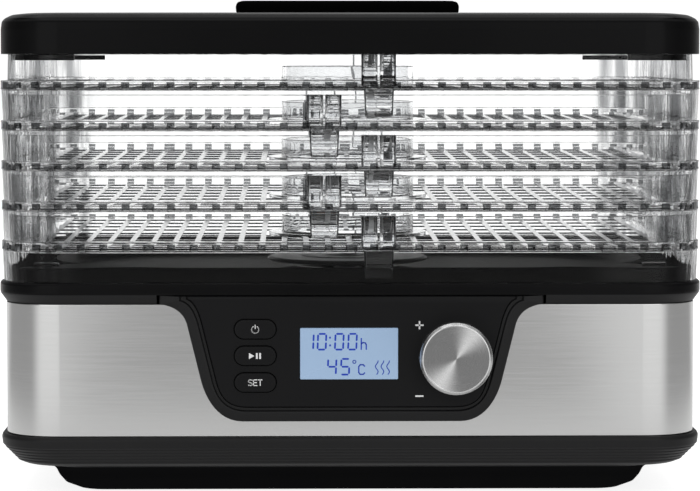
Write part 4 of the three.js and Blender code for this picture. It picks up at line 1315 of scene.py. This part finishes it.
lid_profile = [
    (43, 29, 16, 215.2, 0), (46.6, 32.6, 19.6, 215.2, 1.2), (47, 33, 20, 230.2, 0.5),
    (47.8, 33.8, 20.8, 231.0, 0.4),
    lid_level(60, 231.0, 1, 24), lid_level(14, 230.2, 6, 20), lid_level(6.4, 229.3, 2.0, 24.5),
    lid_level(3.0, 227.6, 0.8), lid_level(1.5, 226.0, 0.7), lid_level(1.0, 222.4, 0.5),
    lid_level(1.0, LID_EDGE, 0.3), lid_level(3.5, LID_EDGE, 0.2), lid_level(3.6, LID_EDGE + 0.6, 0.1),
    lid_level(7, LID_EDGE + 0.6, 0.1), lid_level(7, LID_EDGE - 3, 0.2), lid_level(8.6, LID_EDGE - 3, 0.2),
    lid_level(8.6, LID_EDGE + 2.6, 0.2), lid_level(3.6, LID_EDGE + 3.4, 0.3), lid_level(3.6, 222, 1),
    lid_level(8, 226.4, 2, 22), lid_level(60, 228.6, 1, 24), (49.4, 35.4, 22.4, 228.6, 0.5),
    (49.4, 35.4, 22.4, 214.6, 1.2), (44, 30, 17, 213.2, 0),
]
lid = Moulding().skin(free_stack(lid_profile)).made("lid_shell", GLOSS_BLACK)
cutter = Moulding()
for side in (-1, 1):
    for i in range(5):
        x = side * (86 + i * 11)
        cutter.skin([[(x + u, v, z) for u, v in rounded_rectangle(2, 26, 1.9, 4)] for z in (220, 240)])
    y0, y1 = sorted((side * 112, side * 121.3))
    cutter.box((-132, y0, LID_EDGE - 6), (132, y1, LID_EDGE + 0.55))
    x0, x1 = sorted((side * 157, side * 166.3))
    cutter.box((x0, -82, LID_EDGE - 6), (x1, 82, LID_EDGE + 0.55))
carve(lid, cutter.made("lid_cutter"))
attach(lid, "lid", "black_gloss", "lid")

# %% [markdown]
# The handle is a bar with round ends across the hollow. A shallow step runs round its top.

# %% Handle
def bar_level(inset, z, rounding):
    return (57.5 - inset, 11 - inset, 10.8 - inset, z, rounding)


handle = Moulding().skin(free_stack([
    bar_level(1.2, 231.3, 0), bar_level(0.2, 232.4, 0.4), bar_level(0, 235.2, 0.6),
    bar_level(0.7, 237.0, 0.6), bar_level(1.6, 237.6, 0.3), bar_level(2.4, 237.7, 0.2),
    bar_level(3.2, 238.0, 0.3), bar_level(9, 238.0, 0),
])).made("handle_bar", HANDLE_BLACK)
attach(handle, "lid", "black_gloss", "lid_handle")

# %% [markdown]
# ## Parts that stay
# The feet, screws and everything inside keep the measured model's own shape. Each gets a
# finish with some grain or marks, because they show from below and between the trays.

# %% Finishes for the parts that stay
COIL_WINDING = worked_metal(
    "coil_winding", (0.62, 0.30, 0.16), (0.40, 0.18, 0.09), 0.4, (0.2, 0.2, 1), 1800, 0.03,
)
KEPT = {
    FOOT_RUBBER: ["foot_rear_right", "foot_rear_left", "foot_front_left", "foot_front_right", "cord_inlet"],
    BRIGHT_ZINC: [
        "base_screw_rear_right", "base_screw_rear_left", "base_screw_front_left", "base_screw_front_right",
        "handle_screw_left", "handle_screw_right", "encoder_shaft", "motor_bracket", "fan_motor",
        "motor_shaft", "thermal_fuse"],
    INNER_BLACK: ["body_frame", "knob_core", "capacitor"],
    DUCT_GREY: [
        "lcd_module", "switch_power", "switch_start_pause", "switch_set", "encoder_body", "air_duct", "relay",
        "ribbon_cable"],
    BOARD_GREEN: ["control_board", "power_board"],
    WHITE_NYLON: ["fan_impeller", "temperature_sensor", "terminal_block"],
    MICA_SHEET: ["heater_frame"],
    COPPER_WIRE: ["heater_coil"],
    COIL_WINDING: ["transformer"],
}
for finish, names in KEPT.items():
    for name in names:
        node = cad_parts[name]
        for material_slot in node.material_slots:
            material_slot.material = finish
print("kept parts", sum(len(names) for names in KEPT.values()))

# %% [markdown]
# ## Floor and close
# The floor is plain and nearly white. It glows a little, so that clear plastic is seen
# against light from below as well. Polished faces see it dimmer, and its far front part is
# the same grey as the room in front. The steel mirrors that part, so a white card lies on it
# to each side and draws the broad bright bands near the steel's corners.

# %% Floor
floor_mesh = bpy.data.meshes.new("studio_floor")
FLOOR_HALF = 9
floor_mesh.from_pydata(
    [(-FLOOR_HALF, -FLOOR_HALF, 0), (FLOOR_HALF, -FLOOR_HALF, 0), (FLOOR_HALF, FLOOR_HALF, 0),
     (-FLOOR_HALF, FLOOR_HALF, 0)], [], [(0, 1, 2, 3)])
studio_floor = bpy.data.objects.new("studio_floor", floor_mesh)
scene.collection.objects.link(studio_floor)
floor_finish, floor_board = new_finish("studio_floor_white")
CARD_WHITE, NEAR_GLOW, MIRROR_DIM, THROUGH_GLOW = 0.54, 0.86, 0.52, 0.12
floor_ray = floor_board.add("ShaderNodeLightPath", out="Is Glossy Ray")
floor_pale = floor_board.add("ShaderNodeBsdfDiffuse", None, {"Color": (0.5, 0.5, 0.5, 1)})
through = floor_ray.other("Is Transmission Ray")
glow = NEAR_GLOW - floor_ray * (1 - through) * MIRROR_DIM + through * THROUGH_GLOW
floor_glow = floor_board.add("ShaderNodeEmission", None, {"Strength": glow})
near = floor_board.add("ShaderNodeAddShader", None, {0: floor_pale, 1: floor_glow})
spot = floor_board.add("ShaderNodeSeparateXYZ", None, {0: object_place(floor_board)})
spot_x, spot_y = spot.math("ABSOLUTE", spot), spot.other("Y")
distance = spot.math("SQRT", spot_x * spot_x + spot_y * spot_y)
angle = spot.math("ARCTAN2", spot_x, spot_y * -1)
beside = 1 - rise(angle, 1.95, 2.45)
card = rise(spot_x + spot_y * 0.071, 0.121, 0.137) * (1 - rise(angle, 0.75, 1.1))
in_front = beside * rise(distance, 0.35, 0.7) * (1 - floor_ray.other("Is Camera Ray"))
far = floor_board.add(
    "ShaderNodeEmission", None, {"Color": card * CARD_WHITE + FRONT_GREY, "Strength": 1.0})
output(floor_board, floor_board.add("ShaderNodeMixShader", None, {0: in_front, 1: near, 2: far}))
floor_mesh.materials.append(floor_finish)
print("floor half side", FLOOR_HALF, "m")
